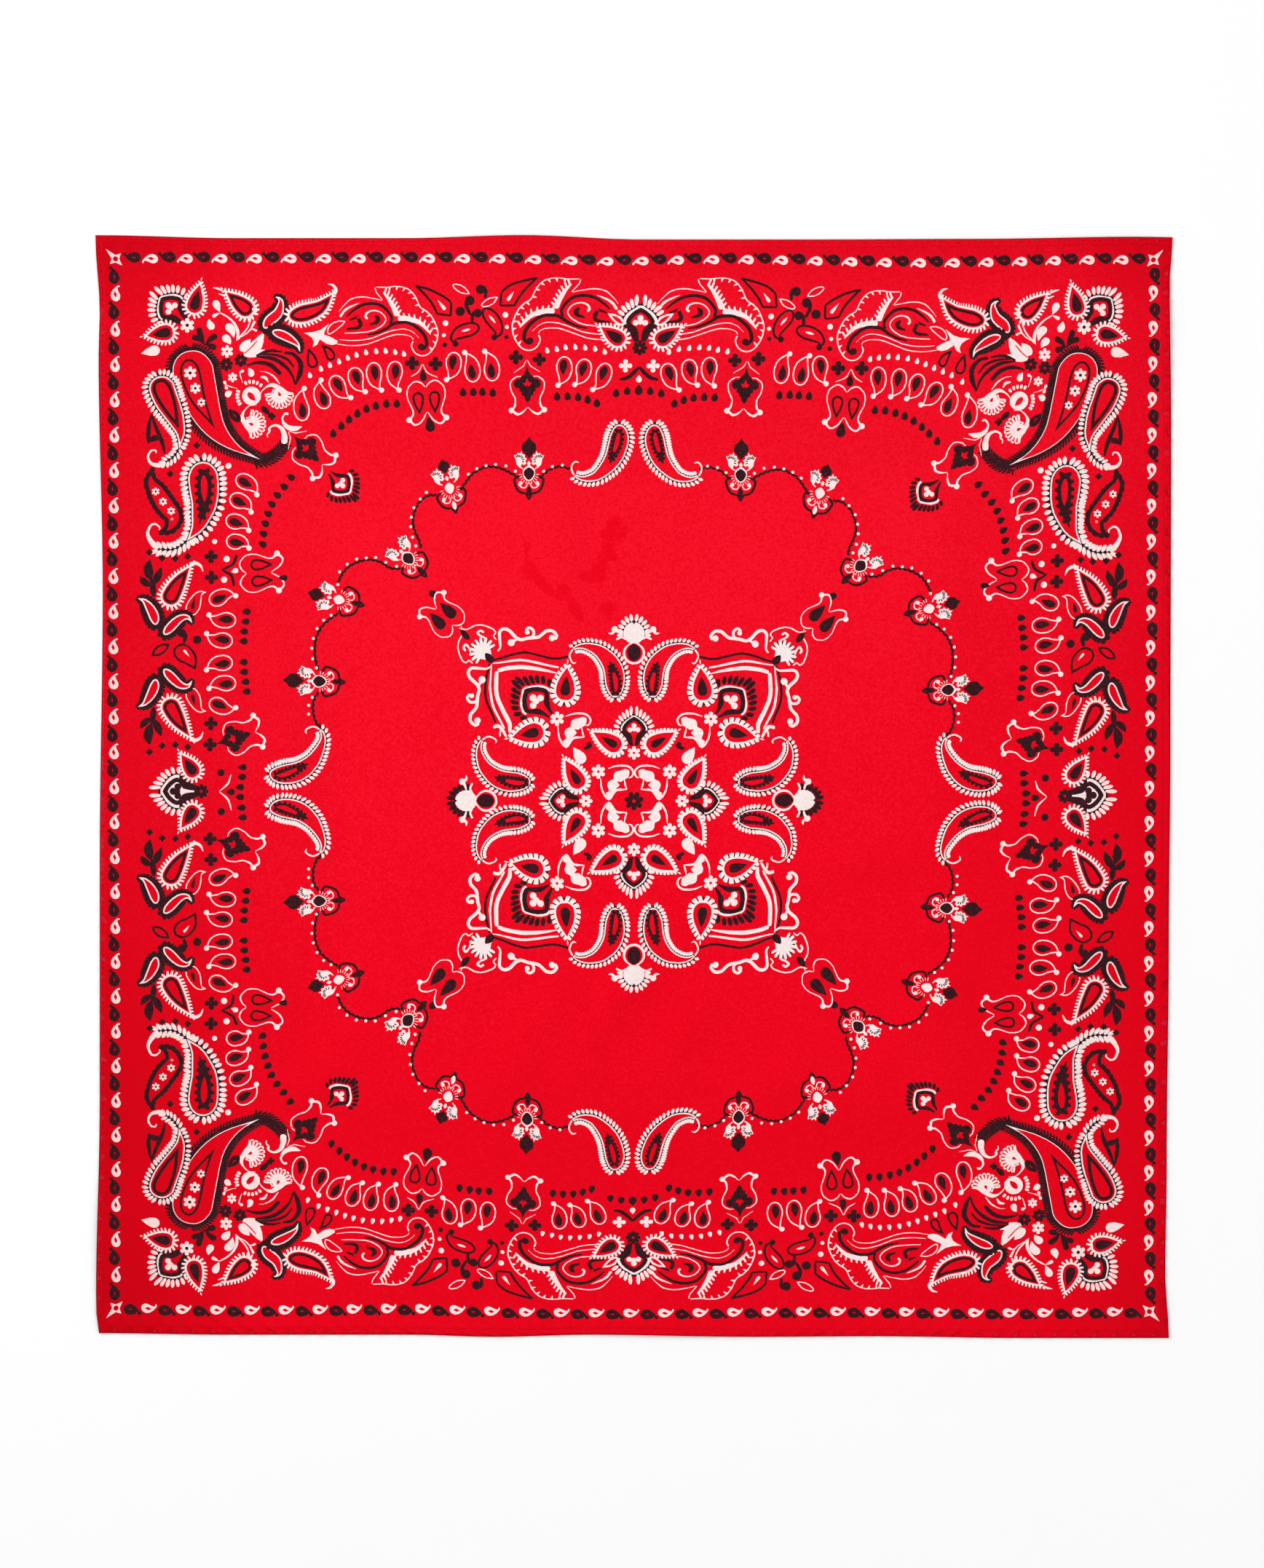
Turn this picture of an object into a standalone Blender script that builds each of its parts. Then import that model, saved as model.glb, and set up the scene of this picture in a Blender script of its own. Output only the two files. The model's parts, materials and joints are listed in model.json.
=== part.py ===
"""A hemmed cotton bandana, laid flat with its printed face up.

The panel is one open sheet with a wall put on it: it lies on the ground, rises over the
turned hems along its four edges, and is lifted a little by a few soft ripples. Each hem
is a narrow folded strip that lies under one edge of the panel and follows it.

Units are metres. +Z is up, +Y is the top edge, and the origin is the middle of the
underside.
"""

import bpy
import numpy as np

MM = 0.001

# Driving sizes
WIDTH = 545 * MM
HEIGHT = 559 * MM
PANEL_WALL = 1.0 * MM
HEM_WALL = 1.0 * MM
HEM_WIDTH = 4.0 * MM
HEM_EDGE_ROUND = 0.25 * MM
SEAM_GAP = 0.3 * MM
HEM_SLOPE = 4.0 * MM

# Grid cells along the panel's width and height
CELLS_ACROSS = 40
CELLS_UP = 42

COLLECTION = "bandana"
SIDES = ("top", "bottom", "left", "right")

# How each edge wavers. Columns: place along the edge from the middle of the cloth
# (mm, to the right or upwards), distance outwards from the straight edge (mm).
EDGE_WAVES = {
    "top": ((-272, 1.1), (-204, -0.4), (-115, -0.4), (-56, 1.1), (4, -1.1),
            (93, -1.1), (174, -0.8), (256, 0.3), (272, 0.0)),
    "bottom": ((-272, -1.6), (-204, -0.8), (-115, -0.8), (-70, 0.3), (-22, -0.8),
               (63, 0.3), (122, 0.0), (196, 0.9), (272, 0.9)),
    "left": ((-279, -0.6), (-266, 0.9), (-159, -1.0), (-41, -1.0), (100, -2.5),
             (219, -0.4), (241, -1.0), (279, 1.2)),
    "right": ((-279, -0.3), (-248, -2.1), (-192, -1.4), (-78, -0.3), (19, 0.5),
              (182, 0.9), (256, 0.1), (279, 1.6)),
}

# Soft ripples that lift the cloth. Columns: middle x and y (mm), bearing of the crest
# (degrees from +X), length and width of the ripple (mm), height (mm).
RIPPLES = (
    # lower middle, running up to the right
    (-52, -128, 52, 120, 34, 1.9),
    (-12, -112, 58, 130, 30, 2.2),
    (26, -126, 55, 95, 28, 1.6),
    (74, -150, 40, 110, 36, 1.4),
    # lower left corner, fanning out
    (-158, -146, 48, 90, 36, 2.0),
    (-198, -196, 62, 110, 40, 1.5),
    # right side
    (112, -40, 12, 130, 30, 1.2),
    (150, -112, 50, 140, 34, 1.7),
    (226, -96, 72, 120, 38, 1.6),
    # upper half
    (-38, 118, 96, 120, 40, 1.3),
    (40, 60, 84, 90, 34, 1.0),
    (-176, 30, 100, 160, 44, 1.2),
    (176, 150, 128, 120, 42, 1.4),
    (-196, 206, 40, 110, 46, 1.3),
    # edges that stand off the ground
    (-62, 262, 90, 66, 110, 1.6),
    (20, -262, 90, 60, 100, 1.3),
    (-262, -232, 0, 60, 84, 1.5),
    (258, 232, 0, 64, 90, 1.7),
)

RED = (0.80, 0.010, 0.030, 1.0)
HEM_RED = (0.74, 0.008, 0.026, 1.0)


def cosine_between_rows(place, rows):
    """A wave through the rows of a two-column table, level at each row."""
    keys, values = np.array(rows, dtype=float).T * MM
    place = np.clip(place, keys[0], keys[-1])
    after = np.clip(np.searchsorted(keys, place), 1, len(keys) - 1)
    before = after - 1
    part = (place - keys[before]) / (keys[after] - keys[before])
    ease = part * part * (3.0 - 2.0 * part)
    return values[before] + (values[after] - values[before]) * ease


def outline_point(across, up):
    """The place of a point at fractions across and up the cloth, inside its four edges."""
    x_flat = (across - 0.5) * WIDTH
    y_flat = (up - 0.5) * HEIGHT
    left = -0.5 * WIDTH - cosine_between_rows(y_flat, EDGE_WAVES["left"])
    right = 0.5 * WIDTH + cosine_between_rows(y_flat, EDGE_WAVES["right"])
    bottom = -0.5 * HEIGHT - cosine_between_rows(x_flat, EDGE_WAVES["bottom"])
    top = 0.5 * HEIGHT + cosine_between_rows(x_flat, EDGE_WAVES["top"])
    return left + (right - left) * across, bottom + (top - bottom) * up


def ripple_height(x, y):
    """Height of the ripples over the ground: a cosine hump for each row, zero elsewhere."""
    height = np.zeros_like(x)
    for middle_x, middle_y, bearing, length, width, crest in RIPPLES:
        turn = np.radians(bearing)
        from_x, from_y = x - middle_x * MM, y - middle_y * MM
        along = (from_x * np.cos(turn) + from_y * np.sin(turn)) / (length * MM)
        aside = (from_y * np.cos(turn) - from_x * np.sin(turn)) / (width * MM)
        hump = np.cos(np.pi * np.clip(along, -0.5, 0.5)) ** 2
        hump *= np.cos(np.pi * np.clip(aside, -0.5, 0.5)) ** 2
        height += crest * MM * hump
    return height


def hem_rise(across, up):
    """How far the panel is lifted by the hems: all the way over them, then down a slope."""
    inset_x = np.minimum(across, 1.0 - across) * WIDTH
    inset_y = np.minimum(up, 1.0 - up) * HEIGHT
    inset = np.minimum(inset_x, inset_y)
    hem_end = HEM_WIDTH + SEAM_GAP
    return np.interp(inset, (hem_end, hem_end + HEM_SLOPE), (HEM_WALL + SEAM_GAP, 0.0))


def stations(length, cells):
    """Fractions of a side where grid lines lie: at the hem's end, its slope's end, then even."""
    near = np.array((0.0, HEM_WIDTH + SEAM_GAP, HEM_WIDTH + SEAM_GAP + HEM_SLOPE))
    middle = np.linspace(near[-1], length - near[-1], cells - 3)
    return np.concatenate((near[:-1], middle, length - near[-2::-1])) / length


ACROSS = stations(WIDTH, CELLS_ACROSS)
UP = stations(HEIGHT, CELLS_UP)


def grid_object(name, columns, rows, place):
    """A grid primitive whose points are moved to place(column, row) of the two lists."""
    bpy.ops.mesh.primitive_grid_add(x_subdivisions=len(columns) - 1,
                                    y_subdivisions=len(rows) - 1, size=1.0)
    sheet = bpy.context.object
    sheet.name = sheet.data.name = name
    points = np.empty(len(sheet.data.vertices) * 3)
    sheet.data.vertices.foreach_get("co", points)
    points = points.reshape(-1, 3)
    column = np.rint((points[:, 0] + 0.5) * (len(columns) - 1)).astype(int)
    row = np.rint((points[:, 1] + 0.5) * (len(rows) - 1)).astype(int)
    x, y, z = place(columns[column], rows[row])
    sheet.data.vertices.foreach_set("co", np.stack((x, y, z), axis=1).ravel())
    sheet.data.shade_smooth()
    return sheet


def thicken(sheet, wall):
    """Put a wall on a sheet's upper side, so that the sheet stays its underside."""
    solidify = sheet.modifiers.new("wall", "SOLIDIFY")
    solidify.thickness = wall
    solidify.offset = 1.0


def cotton(name, colour):
    """Matt printed cotton."""
    material = bpy.data.materials.new(name)
    material.use_nodes = True
    shader = material.node_tree.nodes["Principled BSDF"]
    shader.inputs["Base Color"].default_value = colour
    shader.inputs["Roughness"].default_value = 0.85
    shader.inputs["Metallic"].default_value = 0.0
    return material


def middle_of_outline():
    """Middle of the cloth's outline, from its furthest points each way."""
    side = np.linspace(0.0, 1.0, 400)
    left, right = (outline_point(edge, side)[0] for edge in (0.0, 1.0))
    bottom, top = (outline_point(side, edge)[1] for edge in (0.0, 1.0))
    return 0.5 * (left.min() + right.max()), 0.5 * (bottom.min() + top.max())


MIDDLE_X, MIDDLE_Y = middle_of_outline()


def panel_place(across, up):
    """Underside of the panel at fractions across and up the cloth."""
    x, y = outline_point(across, up)
    z = ripple_height(x, y) + hem_rise(across, up)
    return x - MIDDLE_X, y - MIDDLE_Y, z


def hem_place(side):
    """The function that places the underside of the hem along one side of the cloth."""
    level = side in ("top", "bottom")
    far = float(side in ("top", "right"))

    def place(column, row):
        along, step = (column, row) if level else (row, column)
        edge = np.full_like(along, far)
        inwards = (step - far) * HEM_WIDTH
        if level:
            x, y = outline_point(along, edge)
            y = y + inwards
        else:
            x, y = outline_point(edge, along)
            x = x + inwards
        return x - MIDDLE_X, y - MIDDLE_Y, ripple_height(x, y)

    return place


def build_panel(collection):
    """The printed square of cotton."""
    panel = grid_object("cloth_panel", ACROSS, UP, panel_place)
    thicken(panel, PANEL_WALL)
    finish(panel, collection, cotton("printed_cotton", RED))


def build_hem(side, collection, material):
    """One hem: a folded strip with softened edges, between or across its neighbours."""
    steps = np.array((0.0, 1.0))
    if side in ("top", "bottom"):
        hem = grid_object("hem_" + side, ACROSS, steps, hem_place(side))
    else:
        hem = grid_object("hem_" + side, steps, UP[1:-1], hem_place(side))
    thicken(hem, HEM_WALL)
    rounding = hem.modifiers.new("soft_edges", "BEVEL")
    rounding.width = HEM_EDGE_ROUND
    rounding.segments = 1
    rounding.limit_method = "ANGLE"
    finish(hem, collection, material)


def finish(piece, collection, material):
    """Give a piece its material and move it into the object's collection."""
    piece.data.materials.append(material)
    for holder in list(piece.users_collection):
        holder.objects.unlink(piece)
    collection.objects.link(piece)


def main():
    """Clear the scene, then build the panel and its four hems."""
    for thing in list(bpy.data.objects):
        bpy.data.objects.remove(thing, do_unlink=True)
    collection = bpy.data.collections.new(COLLECTION)
    bpy.context.scene.collection.children.link(collection)
    build_panel(collection)
    hem_material = cotton("hem_cotton", HEM_RED)
    for side in SIDES:
        build_hem(side, collection, hem_material)


main()
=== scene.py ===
"""A hemmed cotton bandana with a paisley print, laid flat with its printed face up.

The cloth is one thin closed shell on the form of its solid: soft ripples, an edge that
wavers and a rise over the turned hems. The print is part of the shell's face, cut along
the edges of its motifs, so that every ink is a material of its own.

Places and sizes of the print are in pixels of the camera's image, which is 1736 wide and
2154 high, x to the right and y down from its corner. Everything else is in metres, in the
frame's axes.
"""

from __future__ import annotations

import json
import logging
from dataclasses import dataclass
from enum import Enum
from typing import Callable

import bpy
import numpy as np
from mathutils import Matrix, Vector
from mathutils.geometry import delaunay_2d_cdt

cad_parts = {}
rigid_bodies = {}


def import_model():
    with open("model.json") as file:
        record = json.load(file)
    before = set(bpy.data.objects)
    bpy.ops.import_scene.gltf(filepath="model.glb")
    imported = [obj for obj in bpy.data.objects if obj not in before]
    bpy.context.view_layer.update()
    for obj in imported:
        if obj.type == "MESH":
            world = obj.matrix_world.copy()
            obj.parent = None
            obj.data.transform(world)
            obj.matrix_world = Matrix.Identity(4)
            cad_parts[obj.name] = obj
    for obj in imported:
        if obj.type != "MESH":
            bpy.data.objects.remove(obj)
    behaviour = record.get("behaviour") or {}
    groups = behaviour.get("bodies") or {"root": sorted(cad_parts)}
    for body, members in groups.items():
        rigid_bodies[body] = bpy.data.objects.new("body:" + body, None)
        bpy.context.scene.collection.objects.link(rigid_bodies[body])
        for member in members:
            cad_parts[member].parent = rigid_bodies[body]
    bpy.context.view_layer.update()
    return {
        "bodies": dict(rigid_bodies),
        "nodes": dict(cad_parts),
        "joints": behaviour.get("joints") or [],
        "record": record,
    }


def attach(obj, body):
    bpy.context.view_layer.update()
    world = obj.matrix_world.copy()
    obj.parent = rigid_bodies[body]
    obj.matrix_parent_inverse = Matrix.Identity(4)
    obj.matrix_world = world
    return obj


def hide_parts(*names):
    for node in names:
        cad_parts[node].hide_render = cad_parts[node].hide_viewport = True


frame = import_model()
LOG = logging.getLogger("bandana")

MM = 0.001
# The size of a pixel on the cloth, and the pixel where the frame's origin lies
PIXEL = 0.3704 * MM
ORIGIN_PIXEL = (870.7, 1080.5)
# Lines that parts of the print are mirrored across
UPRIGHT_AXIS = 871.7
TOP_CURLS_AXIS = 874.0
LEVEL_AXIS = 1087.0
COLUMN_AXIS = 895.3
FOLD_LINE = 1088.0
# The half below FOLD_LINE is drawn in by SHRINK at LOWER_REACH, by a power of the distance
SHRINK = 15.0
LOWER_REACH = 712.0
SHRINK_POWER = 1.3
# Where the cloth is pulled out of square: place, reach each way, and how far it goes that way
PULLS = (
    (1270.0, 760.0, 200.0, 480.0, 0.0, 12.0),
    (1400.0, 1430.0, 190.0, 420.0, 0.0, 8.0),
    (850.0, 1540.0, 260.0, 190.0, 0.0, 25.5),
    (870.0, 1620.0, 120.0, 120.0, -4.0, 0.0),
    (555.0, 1345.0, 90.0, 90.0, 0.0, -9.0),
    (160.0, 1700.0, 90.0, 200.0, 0.0, -4.0),
    (980.0, 400.0, 90.0, 100.0, 4.0, 0.0),
    (830.0, 345.0, 110.0, 40.0, 5.0, 4.0),
    (1590.0, 900.0, 60.0, 500.0, 0.0, 5.0),
    (155.0, 850.0, 40.0, 400.0, -4.0, 3.0),
    (560.0, 1660.0, 110.0, 150.0, 0.0, -8.0),
    (1180.0, 370.0, 300.0, 180.0, 10.0, 0.0),
    (1400.0, 1300.0, 380.0, 480.0, -5.5, 0.0),
    (1300.0, 1760.0, 520.0, 200.0, -3.5, 0.0),
    (600.0, 1700.0, 230.0, 200.0, -5.0, 0.0),
)
MEDALLION_PULLS = (
    (640.0, 1300.0, 95.0, 110.0, 0.0, -8.0),
    (870.0, 1310.0, 110.0, 90.0, 0.0, 9.0),
    (1120.0, 1280.0, 110.0, 130.0, -3.0, -9.0),
    (1130.0, 870.0, 110.0, 130.0, -4.0, 4.0),
    (1120.0, 1080.0, 90.0, 90.0, 4.0, 0.0),
)

Points = np.ndarray


class Ink(Enum):
    """What a spot on the face of the cloth is printed with."""

    GROUND = 0
    WHITE = 1
    BLACK = 2


GROUND, WHITE, BLACK = Ink.GROUND, Ink.WHITE, Ink.BLACK
# How far each ink has spread past its drawn outline, in pixels
SPREAD = {GROUND: 0.0, WHITE: -0.42, BLACK: 0.42}
# Places along a brush's spine, steps in a span of a smooth path, and how far off the line
# between its neighbours a spare point may lie
SPINE_PLACES = 160
SPAN_STEPS = 24
SLACK = 0.33


# ---------------------------------------------------------------- flat shapes


def gaps_along(path: Points) -> Points:
    """The distances between neighbouring places of a path."""
    return np.hypot(*np.diff(path, axis=0).T)


def distance_along(path: Points) -> Points:
    """How far along a path each of its places is."""
    return np.append(0.0, np.cumsum(gaps_along(path)))


def turned(ways: Points) -> Points:
    """Ways turned by a quarter: to the left where y runs down, to the right where it runs up."""
    return np.stack((ways[:, 1], -ways[:, 0]), axis=1)


def way_at(degrees: float) -> Points:
    """The unit way at an angle from +x towards +y."""
    return np.array((np.cos(np.radians(degrees)), np.sin(np.radians(degrees))))


def quarter_round(part: Points) -> Points:
    """A quarter ellipse that rises steeply from 0 and levels off at 1, as part does from 0 to 1."""
    return np.sqrt(1 - (1 - np.clip(part, 0.0, 1.0)) ** 2)


def smooth_path(points: tuple | list | Points, count: int, closed: bool = False) -> Points:
    """A Catmull-Rom curve through points, read at even steps of its length.

    On each span the curve is half of (2b + (c - a)u + (2a - 5b + 4c - d)u^2 +
    (3b - a - 3c + d)u^3), where a, b, c and d are four neighbours and u runs from 0 to 1.

    Args:
        points: the places that the curve passes.
        count: how many points to return.
        closed: whether the curve returns to its start.

    Returns:
        The curve, one row a point.
    """
    given = np.asarray(points, dtype=float)
    if closed:
        ends = np.concatenate((given[-1:], given, given[:2]))
    else:
        ends = np.concatenate((2 * given[:1] - given[1:2], given, 2 * given[-1:] - given[-2:-1]))
    a, b, c, d = (ends[k:len(ends) - 3 + k, None] for k in range(4))
    u = np.linspace(0.0, 1.0, SPAN_STEPS, endpoint=False)[None, :, None]
    cubic = (2 * b + (c - a) * u + (2 * a - 5 * b + 4 * c - d) * u ** 2
             + (3 * b - a - 3 * c + d) * u ** 3) / 2
    last = given[:1] if closed else given[-1:]
    dense = np.concatenate((cubic.reshape(-1, 2), last))
    reach = distance_along(dense)
    wanted = np.linspace(0.0, reach[-1], count, endpoint=not closed)
    return np.stack([np.interp(wanted, reach, dense[:, k]) for k in range(2)], axis=1)


def rosette(x: float, y: float, radius: float, petals: int = 0, cut: float = 0.35,
            turn: float = 0.0, steps: int = 6) -> Points:
    """The outline of a flower: a circle pulled in between its petals.

    The radius shrinks by cut times one less a root of the cosine's size, petals times round.

    Args:
        x, y: the middle.
        radius: reach of the petals.
        petals: how many, or 0 for a disc.
        cut: how deep the gaps are, as a share of the radius.
        turn: angle of the first petal in degrees, clockwise from the right.
        steps: points for each petal.

    Returns:
        The closed outline.
    """
    angle = np.linspace(0.0, 2 * np.pi, (petals or 2) * steps, endpoint=False)
    reach = radius * np.ones_like(angle)
    if petals:
        reach *= 1 - cut * (1 - np.abs(np.cos(petals * angle / 2)) ** 0.6)
    angle = angle + np.radians(turn)
    return np.stack((x + reach * np.cos(angle), y + reach * np.sin(angle)), axis=1)


# Edges of one tooth, leaf, petal and close tooth, as shares of its width and height
TOOTH_EDGE = ((-0.07, 0.0), (0.07, 0.0), (0.26, 1.0), (0.74, 1.0))
LEAF_EDGE = ((0.0, -0.45), (0.35, -1.0), (0.75, -0.85), (1.0, 0.0), (0.75, 0.85), (0.35, 1.0),
             (0.0, 0.45))
PETAL_EDGE = ((0.0, 0.0), (0.14, 0.62), (0.32, 1.0), (0.68, 1.0), (0.86, 0.62))
CLOSE_EDGE = ((-0.03, 0.0), (0.03, 0.0), (0.09, 0.78), (0.27, 1.0), (0.73, 1.0), (0.91, 0.78))
# Places along the spur on a tip, as shares of its length, and its half widths there
SPUR_EDGE = ((0.35, 0.9), (0.7, 1.5), (1.1, 0.8))


@dataclass(frozen=True)
class Brush:
    """A flat shape painted along a spine.

    path holds evenly spaced places along the spine, half the half width at each of them.
    """

    path: Points
    half: Points

    @classmethod
    def along(cls, points: tuple | list | Points, width: float, belly: float,
              tail: float, square: float = 2.0) -> Brush:
        """A paisley: a round head on the first point that thins to the last one.

        The half width is a quarter ellipse up to the belly, and after it, over the part v
        of the way that is left, (1 - v)^tail times (1 + tail v).

        Args:
            points: places that the spine passes, from the head's end to the tip.
            width: across the belly.
            belly: where it is widest, as a share of the length.
            tail: how fast the tail thins; 1 is blunt and 2 is fine.
            square: power of the ellipse of the head; 2 is round and 3 is squarish.

        Returns:
            The brush.
        """
        path = smooth_path(points, SPINE_PLACES)
        t = np.linspace(0.0, 1.0, SPINE_PLACES)
        head = np.clip(1 - np.clip(1 - t / belly, 0, 1) ** square, 0, 1) ** (1 / square)
        v = np.clip((t - belly) / (1 - belly), 0, 1)
        half = np.where(t < belly, head, (1 - v) ** tail * (1 + tail * v))
        return cls(path, half * width / 2)

    @classmethod
    def drop(cls, x: float, y: float, tip_x: float, tip_y: float, width: float,
             tail: float = 1.15, bend: float = 0.0) -> Brush:
        """A drop: a round end about its own middle, and a tip.

        Args:
            x, y: the middle of the round end.
            tip_x, tip_y: the tip.
            width: across the round end.
            tail: how fast it thins, as in along.
            bend: how far the spine bows to the right of the way to the tip.

        Returns:
            The brush.
        """
        middle, tip = np.array((x, y)), np.array((tip_x, tip_y))
        reach = tip - middle
        length = np.hypot(*reach)
        start = middle - reach / length * width / 2
        half_way = (start + tip) / 2 + bend * np.array((-reach[1], reach[0])) / length
        belly = width / 2 / (length + width / 2)
        return cls.along((start, half_way, tip), width, belly, tail)

    @classmethod
    def line(cls, points: tuple | list | Points, *widths: float) -> Brush:
        """A stroke of the given widths, evenly spaced and blended, with round ends."""
        path = smooth_path(points, SPINE_PLACES)
        t = np.linspace(0.0, 1.0, SPINE_PLACES)
        blur = np.hanning(22)
        blur = blur[1:-1] / blur.sum()
        spread = np.linspace(-0.06, 1.06, SPINE_PLACES + len(blur) - 1)
        half = np.interp(spread, np.linspace(0, 1, len(widths)), np.array(widths) / 2)
        half = np.convolve(half, blur, "valid")
        reach = gaps_along(path).sum()
        for end, place in ((widths[0] / 2, t * reach), (widths[-1] / 2, (1 - t) * reach)):
            round_end = end * quarter_round(place / max(end, 1e-3))
            half = np.where(place < end, np.minimum(half, round_end), half)
        return cls(path, half)

    def side(self, share: Points, outset: Points | float, lean: Points | float = 0.0) -> Points:
        """One side of the shape as (distance along the spine, distance from it).

        Args:
            share: places along the side, from 0 at the head to 1 at the tip.
            outset: how far each place is moved outwards from the edge.
            lean: how far each place is moved along the edge, towards the tip.

        Returns:
            The places that are still off the spine.
        """
        step = gaps_along(self.path).mean()
        edge = np.stack((np.arange(len(self.half)) * step, self.half))
        slope = np.gradient(edge, axis=1)
        length = np.hypot(*slope) + 1e-9
        reach = distance_along(edge.T)
        s, h, on_s, on_h = (np.interp(share * reach[-1], reach, row)
                            for row in (*edge, *(slope / length)))
        along, away = s - outset * on_h + lean * on_s, h + outset * on_s + lean * on_h
        return np.stack((along, away), axis=1)[away > 0]

    def laid(self, places: Points, sign: float) -> Points:
        """Places of side on the left (sign 1) or right (-1) of the bent spine."""
        step = gaps_along(self.path).mean()
        index = np.clip(places[:, 0] / step, 0, len(self.path) - 1)
        way = np.gradient(self.path, axis=0)
        way /= np.hypot(*way.T)[:, None] + 1e-9
        where = np.arange(len(self.path))
        spine, ahead = (np.stack([np.interp(index, where, row[:, k]) for k in range(2)], axis=1)
                        for row in (self.path, way))
        past = (places[:, 0] - index * step)[:, None]
        return spine + past * ahead + sign * places[:, 1:] * turned(ahead)

    def closed(self, share: Points, outset: Points | float, lean: Points | float = 0.0,
               spur: float = 0.0) -> Points:
        """The closed outline through the same places of both sides, with a spur on the tip."""
        places = self.side(share, outset, lean)
        if spur:
            end = gaps_along(self.path).sum()
            tip = [(end + part * spur, half) for part, half in SPUR_EDGE]
            places = np.concatenate((places, tip))
        return np.concatenate((self.laid(places, 1.0), self.laid(places[::-1], -1.0)))

    def outline(self, outset: float = 0.0, count: int = 0) -> Points:
        """The closed outline, moved outwards by outset, with count places a side."""
        reach = gaps_along(self.path).sum() + self.half.max()
        count = count or int(np.clip(reach / 0.9, 12, 90))
        return self.closed(np.linspace(0.0, 1.0, count), outset)

    def fringe(self, pitch: float, depth: float, near_tip: float = 0.6, lean: float = 0.0,
               end: float = 1.0, spur: float = 0.0, base: float = 0.0,
               edge: tuple = TOOTH_EDGE) -> Points:
        """The outline with rounded teeth standing on it.

        Each tooth rises from a notch to its full height and falls back in the same way.

        Args:
            pitch: width of a tooth.
            depth: height of a tooth at the head.
            near_tip: height at the tip as a share of depth.
            lean: how far a tooth's end leans towards the tip, as a share of its height.
            end: the share of each side that the teeth fill, from the head.
            spur: length of a last tooth on the tip.
            base: how far outside the edge the notches lie.
            edge: a tooth's own edge, as places along it and heights.

        Returns:
            The closed outline.
        """
        reach = np.hypot(*np.gradient(self.path, axis=0).T).sum() + self.half.max() * 0.6
        teeth = max(2, int(round(reach * end / pitch)))
        where, height = np.array(edge).T
        share = np.clip((np.arange(teeth)[:, None] + where) / teeth, 0.0, 1.0).ravel()
        share = np.append(share, 1.0) * end
        tall = np.append(np.tile(height, teeth), height[0])
        tall *= depth * (1 + (near_tip - 1) * share)
        if end < 1:
            plain = np.linspace(end, 1.0, 24)[1:]
            share, tall = np.append(share, plain), np.append(tall, 0 * plain)
        return self.closed(share, base * (1 - 0.8 * share ** 4) + tall, lean * tall, spur)

    def leaves(self, pitch: float, reach: float, gap: float = 1.2,
               lean: tuple[float, float] = (0.0, 0.0), near_tip: float = 1.0,
               end: float = 1.0, fill: float = 0.86) -> list[Points]:
        """Outlines of separate leaves that stand round the shape.

        A leaf runs from its root on the edge to its end, with the half widths of LEAF_EDGE.

        Args:
            pitch: distance between leaves along the edge.
            reach: length of a leaf at the head.
            gap: how far outside the edge the roots lie.
            lean: how far the leaves' ends lean towards the tip on the right and on the left
                side, as shares of their length.
            near_tip: length at the tip as a share of reach.
            end: the share of each side that the leaves fill, from the head.
            fill: width of a leaf as a share of pitch.

        Returns:
            The outlines.
        """
        share = np.linspace(0.0, end, 200)
        rim = self.side(share, gap + 0.4 * reach)
        along = distance_along(rim)
        count = int(round(along[-1] / pitch))
        share = np.interp((np.arange(count) + 0.5) / count * along[-1], along, share[-len(rim):])
        tall = reach * (1 + (near_tip - 1) * share)
        outlines = []
        for sign, slant in zip((1.0, -1.0), lean):
            roots = self.laid(self.side(share, gap), sign)
            ends = self.laid(self.side(share, gap + tall, slant * tall), sign)
            kept = min(len(roots), len(ends))
            roots, way = roots[-kept:], ends[-kept:] - roots[-kept:]
            across = -turned(way) / np.hypot(*way.T)[:, None] * pitch * fill / 2
            edges = [roots + part * way + wide * across for part, wide in LEAF_EDGE]
            outlines.extend(np.stack(edges, axis=1))
        return outlines


def thinned(outline: Points) -> Points:
    """The outline without the points that lie within SLACK of a line between their neighbours."""
    for turn in range(8):
        before, after = np.roll(outline, 1, axis=0), np.roll(outline, -1, axis=0)
        chord, aside = after - before, outline - before
        away = np.abs(chord[:, 0] * aside[:, 1] - chord[:, 1] * aside[:, 0])
        onward = ((after - outline) * aside).sum(axis=1) > 0
        spare = onward & (away < SLACK * np.hypot(*chord.T))
        outline = outline[~(spare & (np.arange(len(outline)) % 2 == turn % 2))]
    return outline


def swollen(outline: Points, reach: float) -> Points:
    """The outline moved outwards by reach, each corner half way between its sides' ways out."""
    ahead = np.roll(outline, -1, axis=0) - outline
    out = turned(ahead) / (np.hypot(*ahead.T)[:, None] + 1e-9)
    area = (outline[:, 0] * ahead[:, 1] - outline[:, 1] * ahead[:, 0]).sum()
    both = out + np.roll(out, 1, axis=0)
    sharp = np.maximum((both ** 2).sum(axis=1), 1.2)[:, None]
    return outline + np.sign(area) * 2 * reach * both / sharp


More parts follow.
